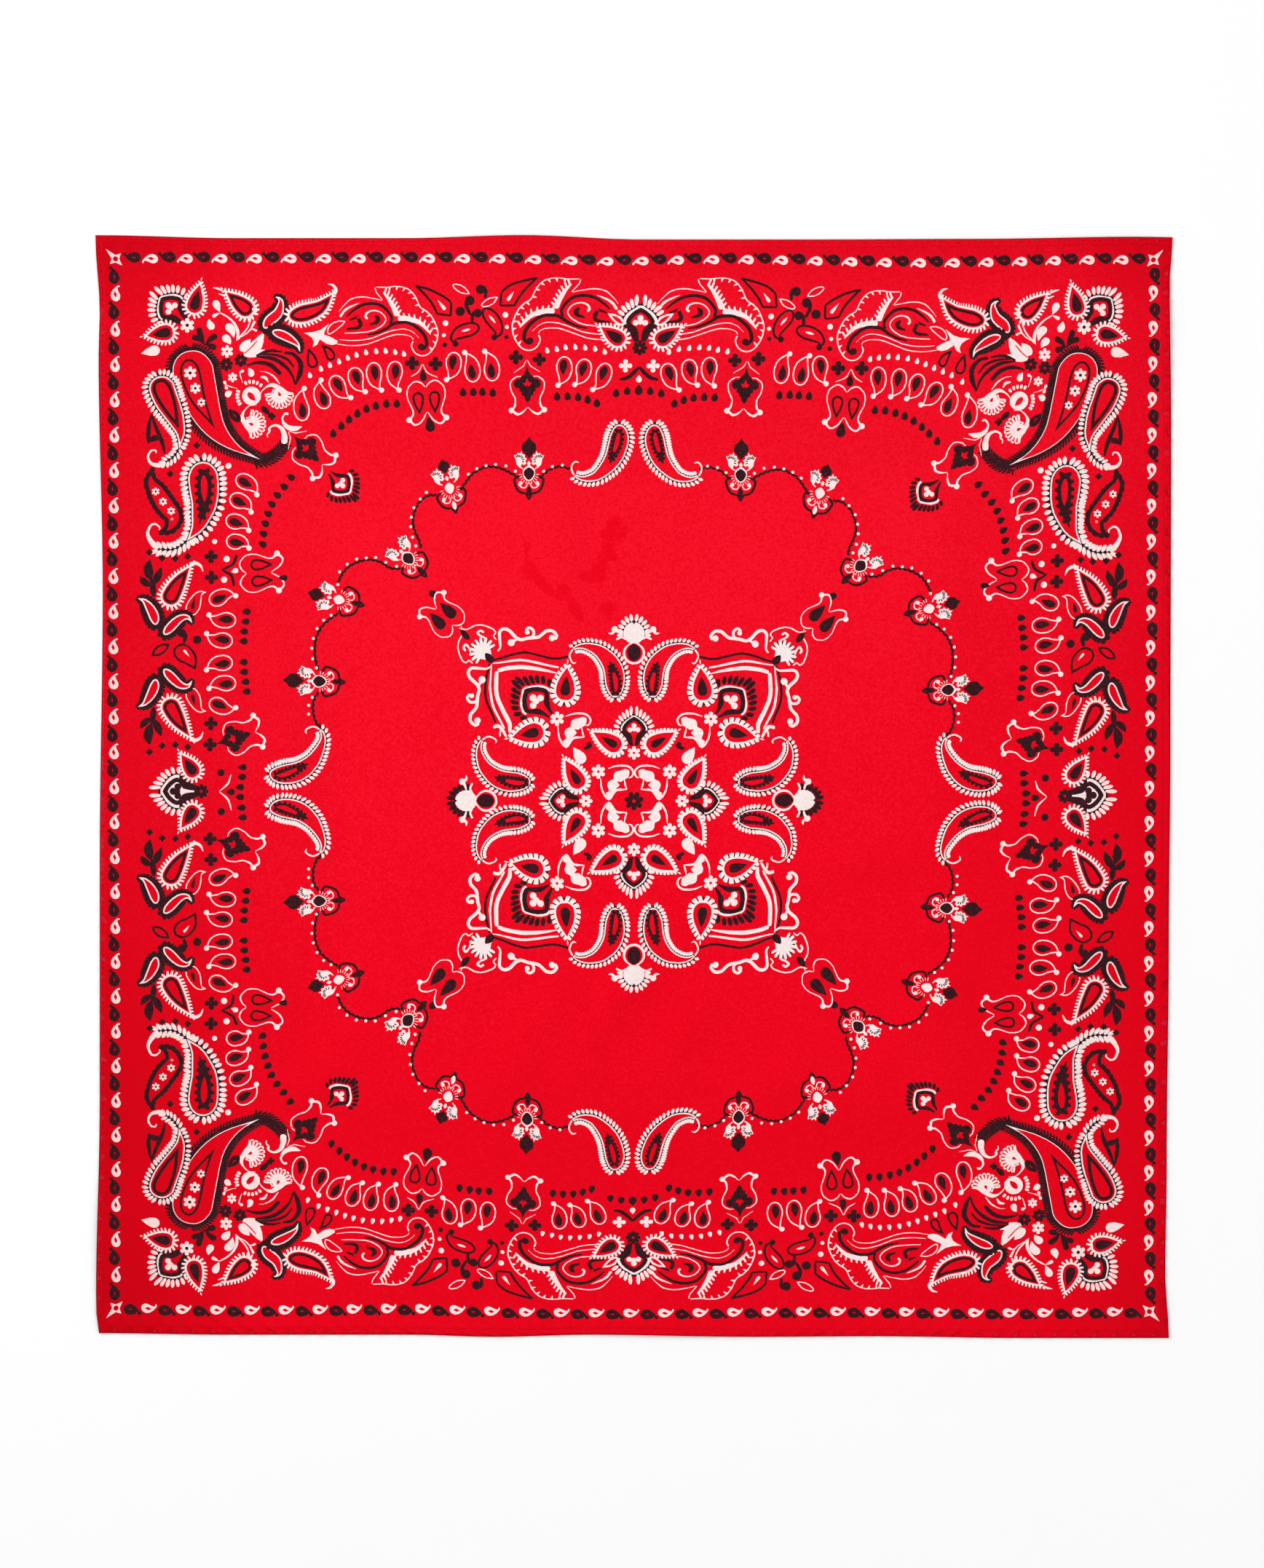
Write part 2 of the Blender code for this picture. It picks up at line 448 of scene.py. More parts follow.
class Drawing:
    """Flat shapes in the order that they are painted, each an ink and a closed outline."""

    def __init__(self) -> None:
        """Start with no shapes."""
        self.shapes: list[tuple[Ink, Points]] = []

    def add(self, ink: Ink, *outlines: Points) -> Drawing:
        """Paint outlines with one ink, over what is there."""
        self.shapes.extend((ink, thinned(outline)) for outline in outlines if len(outline) > 2)
        return self

    def join(self, *others: Drawing) -> Drawing:
        """Paint other drawings over this one."""
        for other in others:
            self.shapes.extend(other.shapes)
        return self

    def changed(self, change: Callable[[Points], Points]) -> Drawing:
        """A copy whose outlines have each been put through a function."""
        copy = Drawing()
        copy.shapes = [(ink, change(outline)) for ink, outline in self.shapes]
        return copy

    def placed(self, x: float, y: float, turn: float = 0.0, size: float = 1.0,
               flip: bool = False) -> Drawing:
        """A copy that is flipped left to right if asked, sized, turned and moved.

        Args:
            x, y: where the drawing's origin goes.
            turn: degrees, clockwise as seen from above.
            size: factor on all its sizes.
            flip: whether to mirror it left to right first.

        Returns:
            The copy.
        """
        cosine, sine = np.cos(np.radians(turn)), np.sin(np.radians(turn))
        matrix = size * np.array(((cosine, sine), (-sine, cosine)))
        if flip:
            matrix = np.array(((-1, 0), (0, 1))) @ matrix
        return self.changed(lambda outline: outline @ matrix + (x, y))

    def mirrored(self, x: float | None = None, y: float | None = None) -> Drawing:
        """A copy mirrored across the upright line at x or the level line at y."""
        sign = np.array((1 if x is None else -1, 1 if y is None else -1))
        shift = np.array((2 * (x or 0.0), 2 * (y or 0.0)))
        return self.changed(lambda outline: outline * sign + shift)

    def transposed(self) -> Drawing:
        """A copy with x and y exchanged."""
        return self.changed(lambda outline: outline[:, ::-1])

    def spread(self) -> Drawing:
        """A copy in which each ink has spread, or drawn back, by its SPREAD."""
        copy = Drawing()
        copy.shapes = [(ink, swollen(outline, SPREAD[ink])) for ink, outline in self.shapes]
        return copy

    def lowered(self) -> Drawing:
        """The mirror image below FOLD_LINE, drawn in by up to SHRINK towards the bottom edge."""
        def lower(outline: Points) -> Points:
            """One outline of it."""
            below = np.clip(FOLD_LINE - outline[:, 1], 0.0, None)
            drawn_in = SHRINK * (below / LOWER_REACH) ** SHRINK_POWER
            return np.stack((outline[:, 0], FOLD_LINE + below - drawn_in), axis=1)

        return self.changed(lower)

    def pulled(self, rows: tuple) -> Drawing:
        """A copy bent by a table like PULLS, each row fading as a bell with the distance."""
        def bend(outline: Points) -> Points:
            """One outline of it."""
            bent = outline.copy()
            for x, y, reach_x, reach_y, across, down in rows:
                away = ((outline - (x, y)) / (reach_x, reach_y)) ** 2
                bent += np.exp(-away.sum(axis=1))[:, None] * (across, down)
            return bent

        return self.changed(bend)


# ---------------------------------------------------------------- motifs of the print


class Core(Enum):
    """What fills a drop or paisley: bands of an ink and how far inside the edge each starts."""

    BLACK_DROP = ((GROUND, 2.0), (BLACK, 6.2))
    BLACK_RING = ((GROUND, 2.0), (BLACK, 4.2), (GROUND, 7.6))
    WHITE_RING = ((WHITE, 0.0), (GROUND, 2.4))
    OPEN_WHITE = ((WHITE, 0.0), (GROUND, 1.9))
    DROP_LINE = ((WHITE, 0.0), (GROUND, 2.1))
    THICK_WHITE = ((WHITE, 0.0), (GROUND, 2.9))
    THICK_DROP = ((GROUND, 1.6), (BLACK, 8.2))
    OPEN_BLACK = ((BLACK, 0.0), (GROUND, 2.7))
    SEED_SOLID = ((BLACK, 0.0),)
    LINE = ((WHITE, 0.0), (GROUND, 1.5))


def banded(brush: Brush, core: Core, inwards: float = 0.0) -> Drawing:
    """The bands of a core painted inside a brush, all moved inwards by the same amount."""
    drawing = Drawing()
    for ink, inset in core.value:
        drawing.add(ink, brush.outline(-inset - inwards))
    return drawing


def white_fringed(brush: Brush, core: Core = Core.BLACK_DROP, pitch: float = 4.6,
                  depth: float = 5.6, close: bool = False) -> Drawing:
    """A shape edged with white teeth over a dark line, close or apart, with a core inside."""
    share = np.linspace(0.0, 1.0, 70)
    line = 0.74 - 0.5 * share ** 2 if close else 0.3
    edge = CLOSE_EDGE if close else TOOTH_EDGE
    drawing = Drawing().add(BLACK, brush.closed(share, depth * line))
    drawing.add(WHITE, brush.fringe(pitch, depth, lean=0.25, spur=depth, base=1.0, edge=edge))
    return drawing.join(banded(brush, core))


def black_fringed(brush: Brush, band: float = 4.4) -> Drawing:
    """A shape with a dark feathered band round a white line."""
    drawing = Drawing().add(BLACK, brush.fringe(3.6, 2.6, lean=0.5, base=band))
    return drawing.join(banded(brush, Core.WHITE_RING))


def flower(x: float, y: float, radius: float, ink: Ink = WHITE, petals: int = 6,
           eye: Ink = BLACK) -> Drawing:
    """A small flower with a dot in its middle and a petal that points down."""
    drawing = Drawing().add(ink, rosette(x, y, radius, petals, 0.38, 90.0))
    return drawing.add(eye, rosette(x, y, 0.19 * radius, steps=4))


def clover(x: float, y: float, radius: float, ink: Ink = BLACK) -> Drawing:
    """A four-leaved clover."""
    return Drawing().add(ink, rosette(x, y, radius, 4, 0.62, 0.0, 8))


def dots(ink: Ink, *places: tuple[float, float, float]) -> Drawing:
    """Round dots; each place is x, y and radius."""
    return Drawing().add(ink, *(rosette(x, y, radius, steps=5) for x, y, radius in places))


def diamonds(ink: Ink, radius: float, *places: tuple[float, float]) -> Drawing:
    """Small squares set on a corner, their sides drawn in a little."""
    return Drawing().add(ink, *(rosette(x, y, radius, 4, 0.36, 0.0, 2) for x, y in places))


def strokes(ink: Ink, *rows: tuple) -> Drawing:
    """Brush strokes; each row is the widths along the stroke and then its places."""
    return Drawing().add(ink, *(Brush.line(places, *widths).outline() for widths, places in rows))


def ticks(ink: Ink, points: tuple, count: int, reach: tuple[float, float],
          widths: tuple[float, float]) -> Drawing:
    """Short teeth in a row along a curve.

    Args:
        ink: their ink.
        points: the places that the curve passes.
        count: how many teeth.
        reach: how far a tooth goes to the right of the curve, and how far along it.
        widths: a tooth's widths at its root and its end.

    Returns:
        The row.
    """
    path = smooth_path(points, count * 4 + 1)
    way = np.gradient(path, axis=0)[2::4]
    way /= np.hypot(*way.T)[:, None]
    roots = path[2::4]
    ends = roots - reach[0] * turned(way) + reach[1] * way
    return strokes(ink, *((widths, (root, end)) for root, end in zip(roots, ends)))


def drops(ink: Ink, *rows: tuple) -> Drawing:
    """Solid drops; each row is x, y, tip x, tip y, width and perhaps a bend."""
    return Drawing().add(ink, *(Brush.drop(*row[:5], 1.15, *row[5:]).outline() for row in rows))


def beads(ink: Ink, width: float, ends: tuple, *places: tuple[float, float]) -> Drawing:
    """Stubby drops of one width in a row; ends is where the middle and the tip of each lie."""
    rows = (np.add(ends, place).ravel() for place in places)
    return Drawing().add(ink, *(Brush.drop(*row, width, 1.0).outline() for row in rows))


def halves(half: Drawing) -> Drawing:
    """A drawing and its mirror image across its own upright axis."""
    return Drawing().join(half, half.placed(0.0, 0.0, flip=True))


@dataclass(frozen=True)
class BorderChain:
    """The chain round the edge: small drops, black and white in turn, a star in each corner."""

    left: float = 159.5
    right: float = 1582.5
    top: float = 355.0
    bottom: float = 1800.0
    count: int = 59
    first_gap: float = 22.6
    width: float = 14.0

    def white_drop(self) -> Drawing:
        """A drop that runs to the right, with its tail curled down at its left and a slit in it."""
        body = np.array(((-13.2, 4.0), (-12.0, 6.8), (-10.6, 6.2), (-9.2, 3.2), (-6.5, 3.7),
                         (-3.0, 5.6), (1.0, 7.0), (4.8, 6.9), (8.0, 5.0), (9.5, 1.8), (8.9, -2.0),
                         (6.0, -5.1), (1.8, -6.6), (-3.0, -5.8), (-7.6, -3.0), (-11.2, 0.8)))
        slit = np.array(((-5.2, -0.4), (-0.8, -2.4), (4.2, 0.2), (0.2, 2.4)))
        return Drawing().add(WHITE, body + (2.4, 2.0)).add(GROUND, slit + (2.4, 2.0))

    def black_drop(self) -> Drawing:
        """A drop that runs to the right, with its bud up at its left and a slit in it."""
        body = np.array(((-12.8, -3.0), (-9.5, -3.6), (-6.1, -6.0), (0, -7.2), (4.2, -6.4),
                         (7.2, -3.6), (8.7, 0.3), (7.0, 4.2), (1.4, 7.2), (-2.8, 6.4), (-6.6, 4.2),
                         (-10.6, 0.6)))
        slit = np.array(((-3.6, 0.0), (-0.8, -1.0), (2.2, 0.2), (-0.8, 1.0)))
        return (Drawing().add(BLACK, body + (3.2, 2.0), rosette(-10.0, -2.9, 2.3, steps=3))
                .add(GROUND, slit + (3.2, 2.0)))

    def row(self, length: float) -> Drawing:
        """A row of drops along +x between two stars that are length apart."""
        pitch = (length - 2 * self.first_gap) / (self.count - 1)
        row = Drawing()
        for k in range(self.count):
            x = self.first_gap + k * pitch
            row.join(self.white_drop().placed(x, -1.8) if k % 2
                     else self.black_drop().placed(x, -3.4))
        return row

    def star(self) -> Drawing:
        """A four-pointed star with hollow sides, longest towards the corner, and an oval hole."""
        reach, between = (19.0, 11.0, 13.6, 11.0), 5.6
        angles = np.radians(np.arange(8) * 45.0 + 225.0)
        radii = np.array([value for point in reach for value in (point, between)])
        star = np.stack((radii * np.cos(angles), radii * np.sin(angles)), axis=1)
        hole = Brush.line(((-2.2, -2.8), (2.6, 3.2)), 6.4, 7.2, 6.4)
        return Drawing().add(WHITE, star).add(GROUND, hole.outline())

    def draw(self) -> Drawing:
        """All four rows and stars."""
        across, up = self.right - self.left, self.bottom - self.top
        chain = Drawing()
        chain.join(self.row(across).placed(self.left, self.top),
                   self.row(up).placed(self.left, self.top, -90, flip=True),
                   self.row(across).placed(self.right, self.bottom, 180),
                   self.row(up).placed(self.right, self.bottom, 90, flip=True))
        for x, y, turn in ((self.left, self.top, 0), (self.right, self.top, 90),
                           (self.right, self.bottom, 180), (self.left, self.bottom, 270)):
            chain.join(self.star().placed(x, y, turn))
        return chain


def profile(*rows: tuple[float, float]) -> Brush:
    """A shape about the upright axis; each row is a height and the half width there."""
    height, half = smooth_path(rows, SPINE_PLACES).T
    return Brush(np.stack((0 * height, height), axis=1), half)


@dataclass(frozen=True)
class Crown:
    """The petals of a medallion, which stand on a rim a little outside its arch.

    Attributes:
        ink: their ink.
        rise: how far outside the arch the rim lies.
        first, apart: place of the first petal along the rim, and the distance to the next.
        turned: degrees that each leans more than the one above it.
        widths: across a petal, from its root to its end.
        reaches: lengths of the petals, from the top one down.
    """

    ink: Ink
    rise: float
    first: float
    apart: float
    turned: float
    widths: tuple
    reaches: tuple


WHITE_CROWN = Crown(WHITE, 0.3, 2.6, 5.5, 13.5, (4.2, 5.8, 6.3, 4.0),
                    (16.8, 14.6, 13.4, 12.9, 12.3, 11.8, 10.6))
BLACK_CROWN = Crown(BLACK, 1.4, 3.2, 6.4, 9.4, (3.4, 4.8, 5.2, 4.2),
                    (14.8, 12.7, 11.4, 10.4, 9.8, 9.4, 8.4))


def petal_medallion(turn: float, size: float = 1.0, crown: Crown = WHITE_CROWN,
                    arch: float = 3.4, flower_ink: Ink = WHITE) -> Drawing:
    """A dark horseshoe round a small flower, under a white arch and a pointed crown of petals.

    It is drawn about the middle of the horseshoe, with its stem down and its petals up.

    Args:
        turn: degrees, clockwise as seen from above.
        size: factor on all its sizes.
        crown: the petals.
        arch: thickness of the white arch.
        flower_ink: ink of the flower; a black one stands on white.

    Returns:
        The medallion.
    """
    body = profile((-19, 0.2), (-16.8, 4.5), (-12.5, 10.5), (-6.5, 15.8), (0.5, 18.6), (6, 15.5),
                   (11, 11), (17, 6.6), (25, 3.2))
    hollow = profile((-12.8, 0.2), (-11, 4), (-7, 8.6), (-1, 12.8), (3, 12), (8, 5), (13, 2.8),
                     (18, 2), (25.6, 1.4))
    share = np.linspace(0.0, 1.0, 90)
    hood = np.clip((0.56 - share) / 0.03, 0.0, 1.0)
    rim = body.side(np.linspace(0, 0.7, 120), arch + crown.rise)
    drawing = Drawing()
    if crown.ink is WHITE:
        drawing.add(BLACK, body.closed(share, arch + hood * 2.8 * (1 - 0.4 * share)))
    else:
        on_axis = (rim[0, 0] - 0.5 * rim[0, 1], 0.0)
        rim = np.concatenate(((on_axis,), rim))
    round_it = distance_along(rim)
    for k, reach in enumerate(crown.reaches):
        at = [np.interp(crown.first + crown.apart * k, round_it, row) for row in rim.T]
        lean = np.radians(min(crown.turned * k, 84))
        for side in (-1, 1):
            place = body.laid(np.array((at,)), side)[0]
            end = place + reach * np.array((side * np.sin(lean), -np.cos(lean)))
            drawing.add(crown.ink, Brush.line((place, end), *crown.widths).outline())
    drawing.add(WHITE, body.closed(share, (arch + 0.5) * hood - 0.5))
    drawing.add(BLACK, body.outline())
    drawing.add(GROUND if flower_ink is WHITE else WHITE, hollow.outline())
    drawing.join(dots(flower_ink, (0, -5, 4.6), (-6.2, 1.4, 4.4), (6.2, 1.4, 4.4), (0, 0.5, 4)))
    if flower_ink is WHITE:
        drawing.add(GROUND, Brush.line(((0, 3.5), (0, 24)), 2.4, 4.4, 2.6).outline())
    return drawing.placed(0, 0, turn, size)


@dataclass(frozen=True)
class CornerSpray:
    """The upper left corner: a medallion between two drops, vines, leaves and paisleys."""

    def medallion(self) -> Drawing:
        """The petalled medallion, its two fringed drops, a flower and a plain drop."""
        drawing = petal_medallion(-45).placed(234.9, 423.0)
        for drop in ((267.5, 419.7, 276.0, 387.0, 25), (227.8, 457.0, 198.5, 461.8, 25)):
            drawing.join(white_fringed(Brush.drop(*drop)))
        drawing.join(flower(257.3, 447.0, 10.6))
        return drawing.join(drops(WHITE, (212.8, 481.5, 193.6, 485.4, 15)))

    def vines(self) -> Drawing:
        """Stems, buds and leaves between the medallion and the first paisleys."""
        drawing = white_fringed(Brush.drop(337.0, 423.5, 307.5, 398.5, 27), Core.BLACK_RING)
        drawing.join(strokes(
            WHITE,
            ((1.5, 4, 3.5), ((292, 395), (299, 396.5), (306, 399.5))),
            ((1, 3, 3), ((299, 403.5), (304, 404.5), (310, 408))),
            ((2.5, 5.5, 4, 3, 2.5), ((325, 469), (327, 458), (322.5, 445), (312, 435),
                                     (302, 429.6))),
            ((4, 3, 2.6, 3), ((325.5, 467), (337, 455), (343, 444), (344.5, 433))),
            ((2, 2.6, 4.5), ((331, 463.5), (343, 454.5), (350.5, 440.5))),
            ((2, 2.6, 4.5), ((340, 456), (346, 452), (353.5, 455))),
        ))
        drawing.join(drops(
            WHITE,
            (297.0, 417.5, 302.8, 430.0, 11), (294.0, 434.0, 303.0, 429.5, 6),
            (291.5, 447.5, 287.0, 437.5, 11, -2), (313.5, 451.0, 321.5, 465.0, 12.5, -3),
            (309.5, 466.2, 317.5, 474.0, 11.5, -2), (350.5, 425.8, 345.0, 424.0, 8),
        ))
        drawing.join(flower(312, 482.9, 9.2, eye=GROUND), flower(311, 501, 9, BLACK, 7, GROUND),
                     flower(331, 495.3, 9, BLACK, 7, GROUND))
        leaves = (((330, 482.5), (338, 474), (345, 465.5)), ((335, 489), (350, 478), (363, 456.5)),
                  ((338, 489), (351, 486), (365, 480.5)))
        for leaf, width in zip(leaves, (13, 17, 10)):
            drawing.add(WHITE, Brush.along(leaf, width, 0.42, 1.0).outline())
        return drawing.join(strokes(GROUND, ((1.6, 1.6), ((335, 486.5), (345, 478), (353.5, 468)))))

    def sprig(self) -> Drawing:
        """Four dark leaves that meet on the big paisley's head."""
        return drops(BLACK, (273.8, 454.5, 281.5, 475.5, 8.0), (267, 465.0, 281.5, 474, 7.5, -3),
                     (295, 463.2, 282, 475, 7.5, 2), (293.3, 477.0, 281.5, 472.5, 8.0))

    def paisleys(self) -> Drawing:
        """Two dark feathered paisleys and a white fringed one with a curled tip."""
        drawing = black_fringed(Brush.along(
            ((362.5, 451.5), (370, 441), (382, 430), (386, 415), (381, 408.5), (376.5, 410)),
            16, 0.3, 1.1))
        drawing.join(black_fringed(Brush.along(
            ((373.5, 455.5), (386, 459.5), (398, 465.5), (409, 474),
             (413, 485)), 14, 0.3, 1.2), 5.6))
        body = Brush.along(((395.5, 435), (415, 431.5), (437, 424), (450, 412.5), (459.5, 400)),
                           27, 0.3, 1.1)
        drawing.join(white_fringed(body, Core.BLACK_RING))
        return drawing.join(strokes(WHITE, ((6, 5.5, 4, 1.5),
                                            ((458, 405), (461.5, 399), (457.5, 392),
                                             (449.5, 390)))))

    def crescents(self) -> Drawing:
        """Dark crescent strokes, two small drops and the white leaves that bind them."""
        drawing = strokes(
            BLACK,
            ((1, 3.6, 3.2, 1.5), ((352, 489), (362, 484.5), (374, 482), (388, 484))),
            ((3, 4.4, 6.5, 6, 1.5), ((390.5, 484.8), (403, 487), (413, 499), (412, 514),
                                     (406, 529))),
            ((1, 4.6, 4.8, 3, 1.5), ((352, 490), (375, 493), (392, 503.5), (401, 515), (406, 529))),
            ((1, 4.4, 5.4, 5), ((338.8, 502.5), (355, 498.3), (372, 502), (386, 514.5))),
            ((1, 2.6, 3.2, 1.5), ((356, 487), (376, 487.5), (394, 493.5), (404, 505))),
        )
        for row in ((429.5, 498.5, 424, 478.5, 14.5), (453, 490.0, 441.5, 473.5, 12.5, 1.15, 2.5)):
            drawing.join(banded(Brush.drop(*row), Core.OPEN_BLACK))
        drawing.add(WHITE, np.array((
            (417, 457.5), (430, 456), (440, 453), (452, 444.5), (446.5, 455), (445.5, 459.5),
            (455, 463), (464.5, 468.5), (463, 473), (456, 474.5), (448, 472.5), (439.5, 467),
            (436, 474), (429, 477.5), (431, 470.5), (428.5, 464.5), (423.5, 461))))
        leaf = Brush.along(((450, 459.5), (459, 449), (475, 441)), 12.5, 0.45, 0.8)
        return drawing.join(banded(leaf, Core.OPEN_WHITE))

    def draw(self) -> Drawing:
        """The whole corner."""
        return Drawing().join(self.vines(), self.medallion(), self.sprig(), self.crescents(),
                              self.paisleys())


def half_peony() -> Drawing:
    """A peony seen from the side, about its eye: open petals fan down from a white crest."""
    ways = np.radians(6 + 19.0 * np.arange(10))
    ways = np.stack((np.cos(ways), np.sin(ways)), axis=1)
    drawing = Drawing().add(WHITE, *(Brush.line((4 * way, 21.4 * way), 3, 6.8, 5.4).outline(count=9)
                                     for way in ways))
    drawing.add(GROUND, *(Brush.line((9.6 * way, 19 * way), 0.8, 3.2).outline(count=6)
                          for way in ways))
    crest = Brush.line(((-26, 8), (-25.5, -2), (-18.5, -10), (-9, -13), (1, -8), (11, -2.5),
                        (20, -2)),
                       1.2, 1.8, 2.8, 6.5, 8, 4.5, 2)
    drawing.add(WHITE, crest.outline(), rosette(0, -2, 8.4, steps=6))
    drawing.join(strokes(WHITE, ((3.6, 2.4, 2.2, 3), ((-8, -8), (-9.5, -3), (-14, 0.5),
                                                      (-19, -0.5)))))
    return drawing.add(GROUND, Brush.drop(0.4, 0.4, -1.6, -4.5, 4.2).outline())


@dataclass(frozen=True)
class BigPaisley:
    """The feathered paisley on the diagonal and the flowers that its tail curls round."""

    spine: tuple = ((261.5, 481), (265, 508), (274, 543), (293, 585), (321, 613), (360, 632.5))
    tail: tuple = ((352, 634), (366, 632.5), (380, 623.5), (391, 611))
    feather: float = 4.2

    def body(self) -> Drawing:
        """The feathers, a white line, a dark inner drop and three flowers that shrink."""
        body = Brush.along(self.spine, 57, 0.155, 1.75)
        tail = Brush.line(self.tail, 2, 4, 5, 4, 3)
        drawing = Drawing()
        for brush, line, reach, gap, lean in ((body, 4.4, 6.8, 3.4, 0.6),
                                              (tail, 1.2, 8.0, 0.0, 0.9)):
            feathers = brush.leaves(self.feather, reach, gap, (lean, lean), fill=0.6)
            drawing.add(BLACK, brush.outline(line), *feathers)
        drawing.join(banded(body, Core.LINE))
        inner = Brush.along(((258.2, 493.5), (262, 515), (273, 550), (296, 590)), 27.5, 0.2, 1.4)
        drawing.join(banded(inner, Core.OPEN_BLACK))
        for x, y, radius in ((261.3, 512.5, 9.6), (268.4, 533.6, 8.0), (276.8, 553.0, 6.4)):
            drawing.join(flower(x, y, radius))
        return drawing

    def curls(self) -> Drawing:
        """Two white curls at the end of the tail."""
        return strokes(
            WHITE,
            ((10.5, 9, 7, 4.5, 3.2, 4.6), ((390.3, 610.5), (391, 599.2), (387.5, 589.4),
                                           (380.6, 584.6), (373.6, 585.3), (369.6, 589.6),
                                           (371.5, 593.6))),
            ((3.4, 2.4, 2), ((371, 593), (367, 597), (368, 602))),
            ((4.8, 3, 3.8, 6.4, 8, 7, 2), ((396.8, 569.4), (391.7, 568.4), (387.6, 575.6),
                                           (391.4, 583.9), (398.6, 588.3), (407, 588.8),
                                           (415.3, 586))),
        )

    def flowers(self) -> Drawing:
        """A flower seen from the side, two half peonies, a little flower, buds and leaves."""
        middle = np.array((345.8, 544.3))
        drawing = Drawing()
        for angle in (-49, -66, -82, -98, -114, -161, -174, 173, 159, 146):
            way = way_at(angle)
            petal = Brush.line((middle + 15.6 * way, middle + 23 * way), 3.4, 5, 4.4)
            drawing.add(WHITE, petal.outline(count=8))
        drawing.add(WHITE, rosette(*middle, 13.2, steps=9))
        slit = Brush.along(((341, 539.5), (346, 545.5), (351.5, 551)), 8.0, 0.45, 1.0)
        drawing.add(GROUND, slit.outline())
        peony_head = half_peony()
        drawing.join(peony_head.placed(384, 542.2), peony_head.transposed().placed(345.8, 582.8))
        drawing.join(flower(319.8, 518.8, 7.2, eye=GROUND))
        drawing.join(strokes(
            WHITE,
            ((1.6, 2, 2.4), ((334, 527), (331, 519), (329.5, 512))),
            ((1.6, 2, 2.4), ((327, 534), (319, 532.5), (311, 529))),
            ((1, 2, 3.2, 2), ((356, 510.8), (366, 511.5), (377, 518), (385, 528.5))),
            ((3, 5, 1.5), ((357.5, 518), (365, 519.5), (369.5, 526.5))),
        ))
        drawing.join(drops(WHITE, (343.8, 514, 341, 505.5, 9.5, 2), (315, 543, 320, 538, 9.5, -2),
                           (333.5, 510, 327.5, 513, 5), (309, 525.5, 311.5, 531, 5),
                           (311.5, 533.5, 309, 529, 5)))
        for spine, width, belly in ((((329.5, 579), (323, 572), (314.5, 562.5)), 11.8, 0.4),
                                    (((359.5, 559), (364, 563.5), (372, 571)), 7.2, 0.35)):
            drawing.add(BLACK, Brush.along(spine, width, belly, 1.0).outline())
        drawing.join(strokes(GROUND, ((1.3, 1.3), ((320.5, 569), (324.5, 573)))))
        return drawing.join(clover(373.5, 572, 5.2))

    def draw(self) -> Drawing:
        """The paisley with all that its tail holds."""
        return Drawing().join(self.body(), self.curls(), self.flowers())


def leafy(body: Brush, tail: tuple, pitch: float, reach: float) -> Drawing:
    """A paisley in white line with leaves round it, which go on along both sides of its tail.

    Args:
        body: the line's outer edge.
        tail: places along the tail, from the body's tip.
        pitch: distance between leaves.
        reach: their length at the head.

    Returns:
        The paisley.
    """
    share = np.linspace(0, 1, 60)
    stem = Brush.line(tail, 1.2, 1.2, 1.2)
    drawing = Drawing().add(BLACK, body.outline(0.5 * reach), stem.outline(0.36 * reach))
    drawing.add(WHITE, *stem.leaves(pitch, 0.85 * reach, 0.2, (0.75, 0.75), fill=0.95),
                *body.leaves(pitch, 1.05 * reach, 0.9, (-0.1, 0.4), near_tip=0.85, fill=1.02))
    drawing.add(BLACK, body.closed(share, 0.9)).add(WHITE, body.closed(share, 0.5))
    return drawing.add(GROUND, body.closed(share, -1.9))


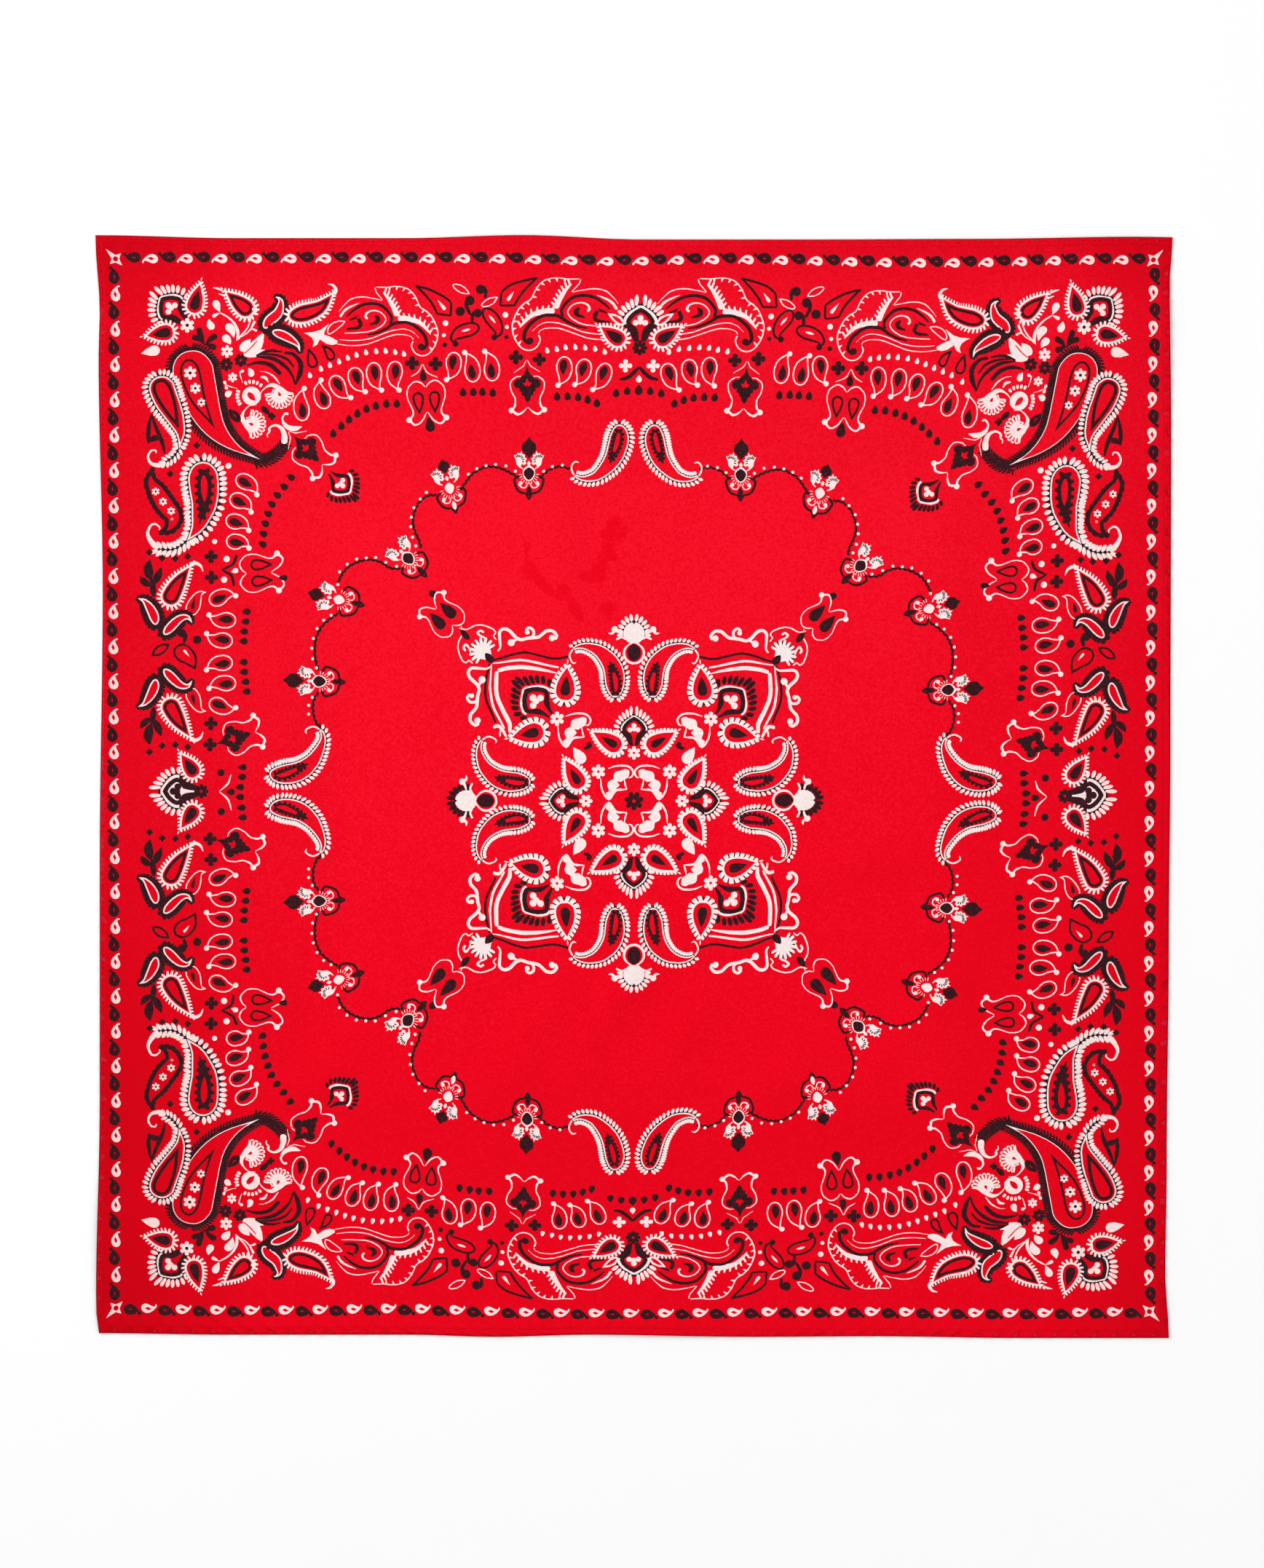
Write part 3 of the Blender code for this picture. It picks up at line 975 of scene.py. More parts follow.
@dataclass(frozen=True)
class SideSpray:
    """The upper left side: fringed paisleys, small feathered ones, sprigs and diamonds."""

    def first_paisley(self) -> Drawing:
        """A paisley in white leaves and line, with a thick dark drop inside and a curled tail."""
        body = Brush.along(((218.5, 517), (222, 531), (229, 550), (237, 565), (244, 581),
                            (248.5, 597), (246.5, 617)), 35, 0.17, 1.25)
        tail = ((247, 612), (244, 620), (237.5, 628.5), (227, 635))
        drawing = leafy(body, tail, 5.4, 9.6)
        inner = Brush.along(((217, 521.5), (222, 533), (232, 556), (246, 589)), 25, 0.2, 1.1)
        drawing.add(BLACK, inner.outline()).add(GROUND, inner.outline(-4.2))
        return drawing.join(strokes(WHITE, ((7, 7, 5, 3.8, 3.4, 2.4), (
            (228, 634), (220, 639), (208.5, 636.5), (204, 627.5), (208, 619), (214, 618.5),
            (215, 623)))))

    def second_paisley(self) -> Drawing:
        """A bigger one, with a dark inner drop with thorns."""
        body = Brush.along(((277.5, 634.5), (279.5, 660), (281, 687), (278, 704), (271, 725),
                            (257, 743)),
                           41.5, 0.21, 1.1)
        drawing = leafy(body, ((262, 738), (251, 748), (237, 755), (217, 754)), 6.8, 11.8)
        spine = ((280, 646), (281, 665), (280.6, 686), (279, 704), (276, 714))
        thorns = Brush.along(spine, 17.5, 0.3, 0.9)
        drawing.add(BLACK, thorns.outline(0.8),
                    *thorns.leaves(11.5, 6.6, -1.0, near_tip=0.8, fill=0.5))
        slit = Brush.along(((279.8, 653), (280.6, 665), (281, 690)), 9.4, 0.4, 0.9)
        drawing.add(GROUND, slit.outline())
        drawing.join(strokes(BLACK, ((4, 3, 1.6), ((279, 702), (276.5, 710), (274, 719.5)))))
        return drawing.join(strokes(WHITE, ((8.5, 8, 5.5, 4, 3.4, 2.4), (
            (219, 753), (209.5, 745), (203.8, 733), (207.3, 722), (213.5, 719.5), (219.5, 724),
            (219.5, 729)))))

    def leaves(self) -> Drawing:
        """A dark hooked leaf, a scalloped leaf with flowers and a sprig of three leaves."""
        drawing = strokes(
            BLACK,
            ((1.5, 4, 5.5, 3.5), ((209, 568.5), (205.3, 583), (204.3, 597), (205, 609))),
            ((1.5, 4, 5.5, 5, 1.5), ((209, 568.5), (213, 583), (219, 597), (224, 610),
                                     (226.5, 623.5))),
            ((5, 8, 5), ((206, 605.5), (212.5, 601.8), (220, 602))))
        leaf = Brush.line(((219, 732.5), (232, 727), (238.5, 715), (236, 705), (226, 692),
                           (216, 675), (208, 660), (210, 642)), 1, 17, 28, 30, 27.5, 17, 1)
        drawing.add(BLACK, leaf.fringe(7.4, 1.7, near_tip=0.8, edge=PETAL_EDGE))
        drawing.add(GROUND, leaf.outline(-4.8))
        for x, y, radius in ((214.3, 675, 6), (224.2, 689, 6.2), (235.3, 702, 6.2),
                             (236.4, 713, 2.6)):
            drawing.join(flower(x, y, radius))
        return drawing

    def sprig(self) -> Drawing:
        """Three dark leaves on one stem, about their meeting point."""
        return strokes(BLACK, ((0.6, 11.5, 11.5, 0.6), ((-2.5, -22), (-4.5, -8), (0, 8))),
                       ((0.6, 9.5, 9.5, 0.6), ((13, -10.5), (8, 2), (1.5, 14))),
                       ((0.6, 8.5, 8.5, 0.6), ((-15, 1), (-9, 9), (0, 15))),
                       ((4.5, 6.5, 8, 2), ((0, 6), (1.5, 13), (2.0, 20), (3, 30))))

    def third_paisley(self) -> Drawing:
        """A fringed paisley with a dark ring and a curled tip, and an open drop beside it."""
        drawing = white_fringed(Brush.drop(236, 819.5, 264, 774.5, 27.5, 1.1, -2), Core.BLACK_RING)
        drawing.join(strokes(WHITE, ((6, 5.5, 4, 1.5), ((262, 775), (268, 773.5), (275.5, 777),
                                                        (279.5, 786)))))
        drop = Brush.along(((260, 846), (266, 832), (274, 816), (285, 813.5)), 20, 0.3, 1.3)
        drawing.join(banded(drop, Core.OPEN_WHITE))
        return drawing.join(drops(BLACK, (264.5, 834, 267.5, 822, 4.6)))

    def feathered_pair(self) -> Drawing:
        """Two small dark feathered paisleys, tail by tail."""
        left = Brush.along(((215, 858.5), (211, 843), (201, 826), (190, 820)), 14.5, 0.3, 1.1)
        right = Brush.along(((225, 872), (235, 861), (247, 850), (258, 848), (265, 857)),
                            14, 0.28, 1.0)
        return black_fringed(left, 5.2).join(black_fringed(right, 4.6))

    def small_things(self) -> Drawing:
        """Diamonds, dots, clovers, a comma, an open leaf and a dark-lined paisley."""
        drawing = diamonds(BLACK, 4.6, (234, 651), (270.5, 612))
        drawing.join(clover(290, 764.7, 9), clover(290.6, 793.3, 9))
        drawing.join(dots(WHITE, (314, 640, 4.6), (295, 744, 4.0), (311.5, 768, 4.8),
                          (308, 796.5, 4.8)))
        drawing.join(drops(WHITE, (324, 784, 317, 786, 8)))
        drawing.join(strokes(BLACK, ((3.6, 3, 2.2), ((325.5, 763), (320, 775), (305, 783))),
                             ((2.2, 3, 3), ((305, 783), (318, 791), (321.5, 805)))))
        drawing.join(dots(BLACK, (270.9, 879, 5.6), (250, 870, 5.8)))
        drawing.join(strokes(BLACK, ((6, 5, 4.5), ((250, 868), (255, 873), (252.5, 883)))))
        leaf = Brush.line(((209.5, 900), (220.5, 892.5), (232.5, 885)), 1, 11, 12.5, 10, 1)
        drawing.join(banded(leaf, Core.OPEN_BLACK, -0.4))
        paisley = Brush.along(((246, 885), (251, 896), (261, 905), (269, 920)), 25, 0.3, 1.1)
        drawing.join(banded(paisley, Core.OPEN_BLACK))
        return drawing.join(drops(WHITE, (253.5, 894, 261.5, 903.5, 4.2)))

    def column(self) -> Drawing:
        """What repeats above and below COLUMN_AXIS: a sprig, paisleys, drops and beads."""
        drawing = Drawing().join(self.sprig().placed(209, 790))
        drawing.join(self.third_paisley(), self.feathered_pair())
        drawing.join(diamonds(BLACK, 4.6, (206, 758), (223, 766.5), (241, 767.5), (258, 764.5)))
        for row in ((298.5, 823.5, 324, 816), (313, 851, 286, 847), (308.5, 879, 282.5, 872.5)):
            drawing.join(blob_drop(*row))
        return drawing.join(beads(BLACK, 8.6, ((0.8, 0), (-6.4, 0)), (339, 840.5), (337.5, 854),
                                  (335.6, 867.5), (335, 881)))

    def inner_column(self) -> Drawing:
        """The drops and beads that lead from the corner down the inner side, and the tulips."""
        drawing = Drawing()
        for row in ((334, 661.5, 355, 678.4), (326, 688, 347, 702), (321, 717, 343.6, 727),
                    (322, 745, 343.6, 751)):
            drawing.join(blob_drop(*row))
        drawing.join(beads(BLACK, 8.6, ((0.8, 0.4), (-5.8, -3.4)), (400, 656), (390.5, 669),
                           (381, 680.5), (373.5, 693), (368.5, 706), (364.5, 719.5), (362, 733.5),
                           (361, 748)))
        drawing.join(heart_tulip().placed(338, 788, -93),
                     drops(BLACK, (391, 793.8, 382.5, 793.8, 7.6)))
        return drawing.join(fleur_tulip(chevron=False).placed(321.5, 1014.5, -107),
                            clover(289.7, 994, 9), clover(288.5, 1023, 9))

    def draw(self) -> Drawing:
        """The whole side."""
        column = self.column()
        return Drawing().join(self.leaves(), self.first_paisley(), self.second_paisley(),
                              column, column.mirrored(y=COLUMN_AXIS), self.small_things(),
                              self.inner_column())


def blob_drop(x: float, y: float, tip_x: float, tip_y: float, bend: float = -4.0) -> Drawing:
    """A bent drop in white line with a dark seed, its tip ending in a white dot."""
    middle, tip = np.array((x, y)), np.array((tip_x, tip_y))
    length = np.hypot(*(tip - middle))
    way = (tip - middle) / length
    across = np.array((-way[1], way[0])) * np.sign(bend)
    spine = (middle - 12 * way - 1.5 * across, middle + 0.25 * abs(bend) * across,
             middle + 0.5 * length * way + 0.8 * abs(bend) * across, tip - 0.6 * across)
    drawing = banded(Brush.along(spine, 23.4, 0.36, 1.1), Core.DROP_LINE)
    seed = (middle - 6.5 * way, middle + 4 * way + 0.4 * across, middle + 13.5 * way + 2.2 * across)
    drawing.add(BLACK, Brush.along(seed, 9.6, 0.38, 1.0).outline())
    return drawing.add(WHITE, rosette(*(tip - 2.4 * across - 0.8 * way), 4.1, steps=5))


def heart_tulip(seeds: Core = Core.OPEN_BLACK) -> Drawing:
    """A tulip in white line: a heart at the origin that opens downwards to two curled tips."""
    half = strokes(
        WHITE,
        ((2, 2.8, 2.4, 2.2, 2.2, 2.6, 4), ((0, 1), (6, -6), (15, -8), (24.5, 0.5), (26, 14),
                                           (20.5, 28), (19.5, 37), (24.5, 43))),
        ((4, 3, 2.6, 1.8), ((25, 45), (17.5, 51.5), (8, 46.5), (0.3, 34))),
    )
    half.add(WHITE, rosette(25.5, 44, 4.5, steps=6))
    half.join(banded(Brush.drop(11.3, 14.5, 10.5, 37, 15.5), seeds))
    return halves(half)


def fleur_tulip(chevron: bool = True) -> Drawing:
    """A tulip in white line round a lobed dark spade, opening downwards from its chevron."""
    half = strokes(
        WHITE,
        ((1.8, 2.4, 2.4, 2.6, 4), ((6.5, -12), (15, -11.5), (23, -4), (22, 8), (17, 18), (17.5, 28),
                                   (21, 33))),
        ((4, 4, 3, 1.8), ((21.5, 35), (14, 40), (6, 36.5), (0, 30))),
    )
    if chevron:
        half.join(strokes(WHITE, ((2, 2.4, 1.6), ((0.5, -35), (4.5, -26.5), (11, -22),
                                                  (18.5, -17)))))
    half.add(WHITE, rosette(22.5, 34.5, 4.3, steps=6))
    spade = np.array(((0, -26), (1.8, -18.5), (4.5, -14), (8, -11.5), (9, -8), (13.5, -8.5),
                      (17.5, -5), (18, 0.5), (14.5, 4), (10.5, 3.5), (11, 8), (7.5, 9.5),
                      (7.5, 13.5), (4.2, 15), (3.2, 20), (0, 24)))
    half.add(BLACK, spade)
    hole = np.array(((0, -9.5), (2.4, -3), (6.2, -3), (4.2, 0), (1.8, 2.4), (0, 0.5)))
    return halves(half.add(GROUND, hole))


def scroll_bud() -> Drawing:
    """The left shell of a fleur: a white fan with dark slits near its rim, and a curl."""
    rim = np.array(((-7.5, -5.5), (-13.5, -8.5), (-17.8, -13), (-19, -20), (-22, -26.5),
                    (-17.5, -27.5), (-16, -30.5), (-12.8, -29), (-10.5, -33), (-9, -28),
                    (-5.5, -27.5), (-5.5, -23.5), (-2.5, -21.5), (-4.5, -18), (-3, -14.5),
                    (-6.5, -12), (-10, -13.5), (-11, -10), (-8.5, -8.5)))
    bud = Drawing().add(WHITE, rim)
    middle = np.array((-13.5, -18.5))
    ends = np.array(((-19.5, -26.5), (-16.8, -28), (-13.8, -27.5), (-10.5, -27), (-8, -24.8),
                     (-6, -21), (-6.5, -16.5)))
    for end in ends:
        bud.add(BLACK, Brush.line((0.55 * middle + 0.45 * end, end), 0.5, 0.9).outline(count=5))
    return bud


def frame_fleur(heart: Ink, drop: Ink, diamond: tuple[float, float] | None) -> Drawing:
    """One fleur of the lobed frame, upright about its heart, its tip down.

    Args:
        heart: ink of the ogee in the middle.
        drop: ink of the little drop over the tip.
        diamond: width and length of the dark diamond on top, if there is one.

    Returns:
        The fleur.
    """
    keel = strokes(BLACK, ((2.6, 2.6, 2.6), ((-13, 6), (-14.5, 4), (-20.5, 7.5), (-19.5, 15.5),
                                             (-15.5, 23.5), (-9.5, 27), (-4.5, 27.6))),
                   ((2.6, 2.8), ((-5, 27.4), (0.3, 36.5))))
    fleur = halves(keel)
    if diamond:
        width, length = diamond
        side = np.array(((0, 1.0), (0.2, 0.8), (0.42, 0.68), (0.48, 0.5), (0.43, 0.36), (0.24, 0.2),
                         (0, 0)))
        fleur.join(halves(Drawing().add(BLACK, side * (width, -length) - (0, 22))))
    fleur.join(halves(scroll_bud()))
    for k in range(11):
        ends = [np.array((0, 0.5)) + reach * way_at(2 + 17.6 * k) for reach in (8.5, 15)]
        fleur.add(WHITE, Brush.line(ends, 1.4, 2.8).outline(count=8))
    curl = strokes(WHITE, ((1.8, 2.6, 2.8), ((-1, 12), (-4.5, 19), (-10, 19.4), (-14, 15.5),
                                             (-12.5, 12))))
    curl.join(dots(WHITE, (-11.8, 13.2, 3.2)))
    fleur.join(halves(curl))
    ring = Brush.along(((0, 10.5), (0, 0), (0, -13)), 18.5, 0.55, 0.9)
    fleur.add(GROUND if heart is WHITE else WHITE, ring.outline())
    fleur.add(WHITE, Brush.along(((0, -18.5), (0, -15), (0, -10)), 5.4, 0.5, 1.0).outline())
    fleur.add(heart, Brush.along(((0, 8.6), (0, 0), (0, -9)), 14.5, 0.55, 0.9, 1.5).outline())
    return fleur.add(drop, Brush.along(((0.3, 31.5), (0.3, 17.5)), 7, 0.48, 1.0).outline())


@dataclass(frozen=True)
class LobedFrame:
    """The lobed line round the middle: fleurs, arcs of scallops and white dots outside them."""

    line_width: float = 2.6
    scallop: float = 7.4
    depth: float = 1.9

    def line(self) -> Drawing:
        """The dark line, waved in small scallops on its arcs."""
        arcs = (
            ((783, 644), (769, 641), (755, 645), (741, 656)),
            ((712, 656), (699, 648.5), (686, 643), (674, 641), (663, 643), (649, 651), (640, 662),
             (633, 673)),
            ((599, 680), (589.5, 680.5), (578.5, 687), (570.5, 699.5), (567, 716), (570, 730),
             (576, 744), (578, 753)),
            ((550, 781.5), (535.5, 780), (524.5, 773), (510.5, 769), (496.5, 770.5), (483, 776),
             (472, 785.5), (464, 800)),
            ((464.5, 842.5), (453.5, 850), (442.5, 860), (435, 874), (432.5, 888.5), (433, 905),
             (437, 920)),
            ((437, 951), (431, 962), (430, 978), (434, 992), (441, 1000)),
        )
        drawing = Drawing()
        for arc in arcs:
            path = smooth_path(arc, SPINE_PLACES)
            ahead = np.gradient(path, axis=0)
            ahead /= np.hypot(*ahead.T)[:, None]
            scallops = round(gaps_along(path).sum() / self.scallop)
            wave = self.depth * np.abs(np.sin(np.linspace(0, scallops * np.pi, SPINE_PLACES)))
            path = path + (wave[:, None] - 1.0) * turned(ahead)
            drawing.add(BLACK, Brush(path, np.full(SPINE_PLACES, self.line_width / 2)).outline())
        return drawing

    def draw(self) -> Drawing:
        """The upper left quarter of the frame."""
        drawing = self.line()
        for heart, drop, x, y, turn, diamond in (
                (BLACK, BLACK, 726.4, 651, 0, (21, 30)),
                (WHITE, WHITE, 617.5, 671, -15, (16.5, 21)),
                (BLACK, BLACK, 561, 767.5, -45, None), (WHITE, BLACK, 466, 824, -77, (18, 24)),
                (BLACK, BLACK, 439, 936, -88, (21, 30))):
            drawing.join(frame_fleur(heart, drop, diamond).placed(x, y, turn, 0.97))
        return drawing.join(dots(WHITE, *((x, y, 2.5) for x, y in (
            (643.3, 651.4), (655, 643.9), (667.5, 639.8), (680.6, 638), (694.7, 640),
            (707.8, 647.5), (746.7, 647.5), (758.6, 641), (772.2, 639.2), (585.6, 676.4),
            (577.2, 685.6), (568.5, 697.5), (565, 710.6), (564, 723.6), (566.5, 738), (571, 750),
            (544.7, 778), (530, 772.5), (516, 766), (503, 766.5), (490, 768), (477, 775),
            (466.5, 785.6), (464, 803), (455, 845.3), (444.7, 852), (435.6, 863.5), (430.5, 877),
            (428.5, 890.5), (429.4, 905), (434.7, 917.5), (429, 958), (424, 969), (424, 981)))))


@dataclass(frozen=True)
class TopRow:
    """The top side between the corner and the middle: rows of drops, tulips, buds and beads."""

    def drops_and_beads(self) -> Drawing:
        """White-lined drops with dark seeds, small white drops above and dark beads below."""
        drawing = Drawing()
        for row in ((416, 567, 415.6, 533), (445.3, 550.5, 438.5, 522), (463, 526, 480.5, 548.5, 4),
                    (489, 515.5, 500, 540, 4), (514.5, 509, 522, 537.5, 4),
                    (543.5, 507.5, 545.8, 537, 4), (622, 495, 615.5, 523), (648, 514, 640, 483, 4),
                    (674.5, 512.5, 667.5, 481.5, 4), (773, 501, 768, 530.5),
                    (800, 504, 790.5, 530), (828, 509.5, 815, 537)):
            drawing.join(blob_drop(*row))
        return drawing.join(
            beads(WHITE, 6.8, ((0, 0.8), (-1.5, -5.6)), (426, 516), (441, 507), (453.5, 502),
                  (466, 497), (478, 492), (490, 488), (503, 484.5), (517, 483), (530, 482.5),
                  (543, 484), (555, 486.5), (751, 482), (764, 480), (776, 477.5), (789, 477),
                  (802.5, 478), (816, 479.5), (829, 483.6)),
            beads(BLACK, 8.6, ((0, 0.8), (-0.5, -6.6)), (457.8, 596), (469, 585.5), (479.5, 576.5),
                  (491, 568.5), (503.5, 562), (516.5, 558), (530.8, 555.2), (545, 555),
                  (636, 539.5), (650, 539), (662.5, 538.8), (676.7, 540), (764.7, 545.3),
                  (779, 545), (793.3, 546), (806.4, 549.4), (819, 554.4)))

    def tulips(self) -> Drawing:
        """A heart tulip and a tulip with a spade, each under a chevron and two clovers."""
        drawing = heart_tulip().placed(584.5, 531.5, -4)
        drawing.join(fleur_tulip().placed(723.8, 529, -1.5))
        drawing.join(drops(BLACK, (591, 587, 588.5, 573, 12.5), (581.4, 519, 580.5, 507.5, 9)))
        drawing.join(strokes(WHITE, ((1.6, 2.4, 2), ((563.5, 518), (574, 511.5), (580.3, 500))),
                             ((2, 2.4, 1.6), ((580.3, 500), (587, 512), (602, 519)))))
        return drawing.join(clover(566, 499, 9.5), clover(598, 500, 9.5), clover(708, 491, 9.5),
                            clover(740, 494, 9.0))

    def acanthus(self) -> Drawing:
        """A curling toothed leaf on two stems, about the bottom of its curl."""
        edge = ((-65, -94.5), (-49.7, -94), (-33.7, -95.5), (-19.7, -92), (-9.7, -82), (-2.7, -67),
                (6.3, -61), (14.3, -52), (21.3, -34), (19.3, -18), (10.3, -4), (0, 0), (-9.7, -4),
                (-14.7, -14), (-11.7, -22))
        upper = ((-53.7, -88), (-45.7, -78), (-37.7, -64), (-33.7, -54))
        lower = ((-33.7, -51.5), (-19.7, -50.5), (-5.7, -47), (4.3, -39), (12.3, -29))
        drawing = strokes(WHITE, ((2.0, 2.4, 2.6, 2.4), edge),
                          ((2, 2.4), ((-65, -94.5), (-62.7, -87), (-53.7, -76))),
                          ((3, 6.5, 9), upper), ((9.5, 8, 6, 2), lower))
        drawing.join(ticks(WHITE, upper[::-1], 7, (8.5, 4.5), (4, 3.2)))
        drawing.join(ticks(WHITE, lower[::-1], 8, (8.5, 3), (4, 3)))
        drawing.join(ticks(WHITE, edge[1:11], 13, (6, -1.5), (4.2, 2.4)))
        drawing.join(strokes(
            BLACK,
            ((2, 4.2, 4, 3.4, 4, 3, 1.4), ((-5.7, -15), (0, -9), (6.3, -16), (3.3, -28),
                                           (-5.7, -38), (-17.7, -45), (-29.7, -46), (-39.7, -44),
                                           (-49.7, -37), (-63.7, -31), (-75.7, -29))),
            ((1.5, 3.2, 3.6, 3.2, 3), ((-103.7, -54), (-93.7, -63), (-81.7, -70), (-67.7, -72),
                                       (-55.7, -69), (-46.7, -61), (-41.7, -52), (-43.7, -44))),
            ((2.4, 3.6, 4.4, 3.2, 2), ((-103.7, -37), (-89.7, -38), (-84.2, -43), (-87.7, -52),
                                       (-86.7, -54), (-99.7, -49))),
            ((2, 6.5, 3.6, 2), ((-64.7, -56), (-60.7, -51), (-62.7, -46), (-71.7, -43))),
        ))
        drawing.add(BLACK, rosette(-1.5, -12.5, 4.2, steps=6))
        return drawing.join(strokes(
            WHITE,
            ((1.6, 2.2, 2.2, 1.4), ((-114.7, -22.4), (-93.7, -21), (-69.7, -24), (-49.7, -32),
                                    (-33.7, -36.4), (-21.7, -36.4), (-11.7, -32), (-3.7, -24))),
            ((1.6, 2.2, 2.2, 1.6), ((-117.7, -16.4), (-97.7, -14), (-75.7, -16), (-53.7, -24),
                                    (-37.7, -29), (-23.7, -29), (-14.7, -26), (-11.7, -21))),
            ((1.8, 2.2, 2.4, 2.2, 4), ((-107.7, -31), (-89.7, -31.6), (-69.7, -34), (-55.7, -41),
                                       (-49.7, -50), (-55.7, -59), (-65.7, -62.4), (-74.7, -60),
                                       (-77.7, -54), (-74, -50.4))),
            ((1.2, 2.4, 2.2, 1.8), ((-114.7, -60), (-107.7, -69), (-97.7, -78), (-84.7, -81),
                                    (-69.7, -79.6), (-54.7, -76))),
            ((4.4, 3.6, 1.2), ((-112.7, -53), (-107.7, -61), (-99.7, -67), (-85.7, -73))),
        ))

    def between(self) -> Drawing:
        """Dark-lined leaves, open white leaves, commas, dots and two small dark paisleys."""
        drawing = Drawing()
        kites = (((571, 392.6), (590, 398), (608, 407), (619.5, 415.5), (619, 434), (600, 431),
                  (594, 418), (582, 403)), ((736, 381), (713, 387), (698, 393), (688, 402),
                                            (686.5, 420), (706, 420),
                                (712, 408), (723, 394)))
        for kite, seed in zip(kites, ((610, 424, 600, 411), (697.5, 411.5, 706, 399.5))):
            sides = (kite[:4], kite[3:5], kite[4:6], (*kite[5:], kite[0]))
            drawing.join(strokes(BLACK, *(((2.6, 2.6), side) for side in sides)))
            drawing.add(WHITE, Brush.drop(*seed, 5.6, 1.6).outline())
        for spine in (((621, 391), (633, 397.5), (645.5, 404.5)),
                      ((660, 421), (672, 415), (684, 408))):
            drawing.join(banded(Brush.along(spine, 11.5, 0.5, 1.0), Core.OPEN_WHITE))
        drawing.add(BLACK, rosette(631.7, 428, 6.2, steps=6))
        drawing.join(strokes(BLACK, ((5, 4.5, 3.2), ((663, 394), (666.5, 400), (666, 410))),
                             ((5, 4.5, 3), ((640.5, 413), (640.5, 422), (646, 433))),
                             ((4, 4, 3.4), ((651, 428), (648.5, 435), (648, 444)))))
        drawing.join(dots(BLACK, (659.5, 397.8, 6.2), (645.0, 413.0, 6.4), (655.5, 430.5, 5.8)))
        for spine, seed in ((((658.5, 449), (645, 452.5), (631, 457), (623, 465), (626, 473)),
                             (646, 452, 632, 455.6)),
                            (((664, 424), (672, 434), (681, 446), (684, 457), (678, 464)),
                             (680.5, 444.5, 670, 432))):
            drawing.join(banded(Brush.along(spine, 20, 0.36, 0.9), Core.OPEN_BLACK))
            drawing.add(WHITE, Brush.along((seed[:2], seed[2:]), 4.2, 0.5, 1.1).outline())
        drawing.add(BLACK, rosette(625.5, 472.5, 3.9, steps=6), rosette(678.5, 463.5, 3.9, steps=6))
        drawing.join(dots(WHITE, (611.7, 444.2, 4.4), (609.4, 460.6, 3.2), (693.6, 432.8, 4.4),
                          (695.6, 449.4, 3.2)))
        return drawing.join(dots(BLACK, (610.8, 474, 3.0), (695, 463.3, 2.6)))

    def draw(self) -> Drawing:
        """The whole row."""
        drawing = Drawing().join(self.acanthus().placed(579.7, 489),
                                 self.acanthus().placed(725.6, 481.5, 0, 1.055, flip=True))
        return drawing.join(self.between(), self.drops_and_beads(), self.tulips())


def two_drops() -> Drawing:
    """Two white fringed drops under a middle medallion, beside its stem."""
    return halves(white_fringed(Brush.drop(-30, 30, -56, 12, 25)))


def top_middle() -> Drawing:
    """What stands over the middle of the top row."""
    drawing = petal_medallion(0, 1.0, arch=4.8).placed(0, 7)
    leaf = Brush.along(((-21, 12), (-33, 2), (-44, -5)), 11.5, 0.4, 1.0)
    drawing.join(halves(banded(leaf, Core.THICK_WHITE)))
    drawing.join(two_drops(), flower(0, 43, 10, BLACK, 8, GROUND))
    half = clover(-18.5, 67.5, 9.5, WHITE)
    half.join(strokes(BLACK, ((3, 4.6, 4.6, 3), ((0, 69), (-8, 78), (-16, 84), (-26, 86.5)))))
    half.join(drops(BLACK, (-30.6, 106, -30.6, 99, 8.8), (-15.6, 103, -15.6, 96, 8.8)))
    drawing.join(halves(half), drops(WHITE, (0, 86.5, 0, 79.5, 8.6)))
    return drawing.join(drops(BLACK, (0, 102, 0, 93.5, 10.6))).placed(875.6, 435)


def left_middle() -> Drawing:
    """What stands beside the middle of the left column."""
    drawing = petal_medallion(-90, 1.0, arch=4.8, flower_ink=BLACK).placed(243, LEVEL_AXIS)
    drawing.join(two_drops().placed(235.5, LEVEL_AXIS, -90, 0.96),
                 flower(276.7, LEVEL_AXIS, 9.6, BLACK, 8, GROUND))
    drawing.join(dots(BLACK, (303.6, 1061.4, 4.8), (304, 1115, 4.8)))
    drawing.join(strokes(WHITE, ((2.2, 3.4, 2.2), ((317.5, 1063.6), (313.5, 1076), (301, 1087.3))),
                         ((2.2, 3.4, 2.2), ((301, 1087.3), (313.5, 1098.5), (318, 1113.6)))))
    return drawing.join(beads(BLACK, 8.6, ((0.8, 0), (-6.6, 0)), (333.6, 1054), (332.8, 1067.3),
                              (330, 1081.5), (317.5, 1088), (330, 1095), (332, 1109.5),
                              (333.6, 1123)))


# Least half width of the curl that ends a toothed paisley
CURL_HALF = 1.5


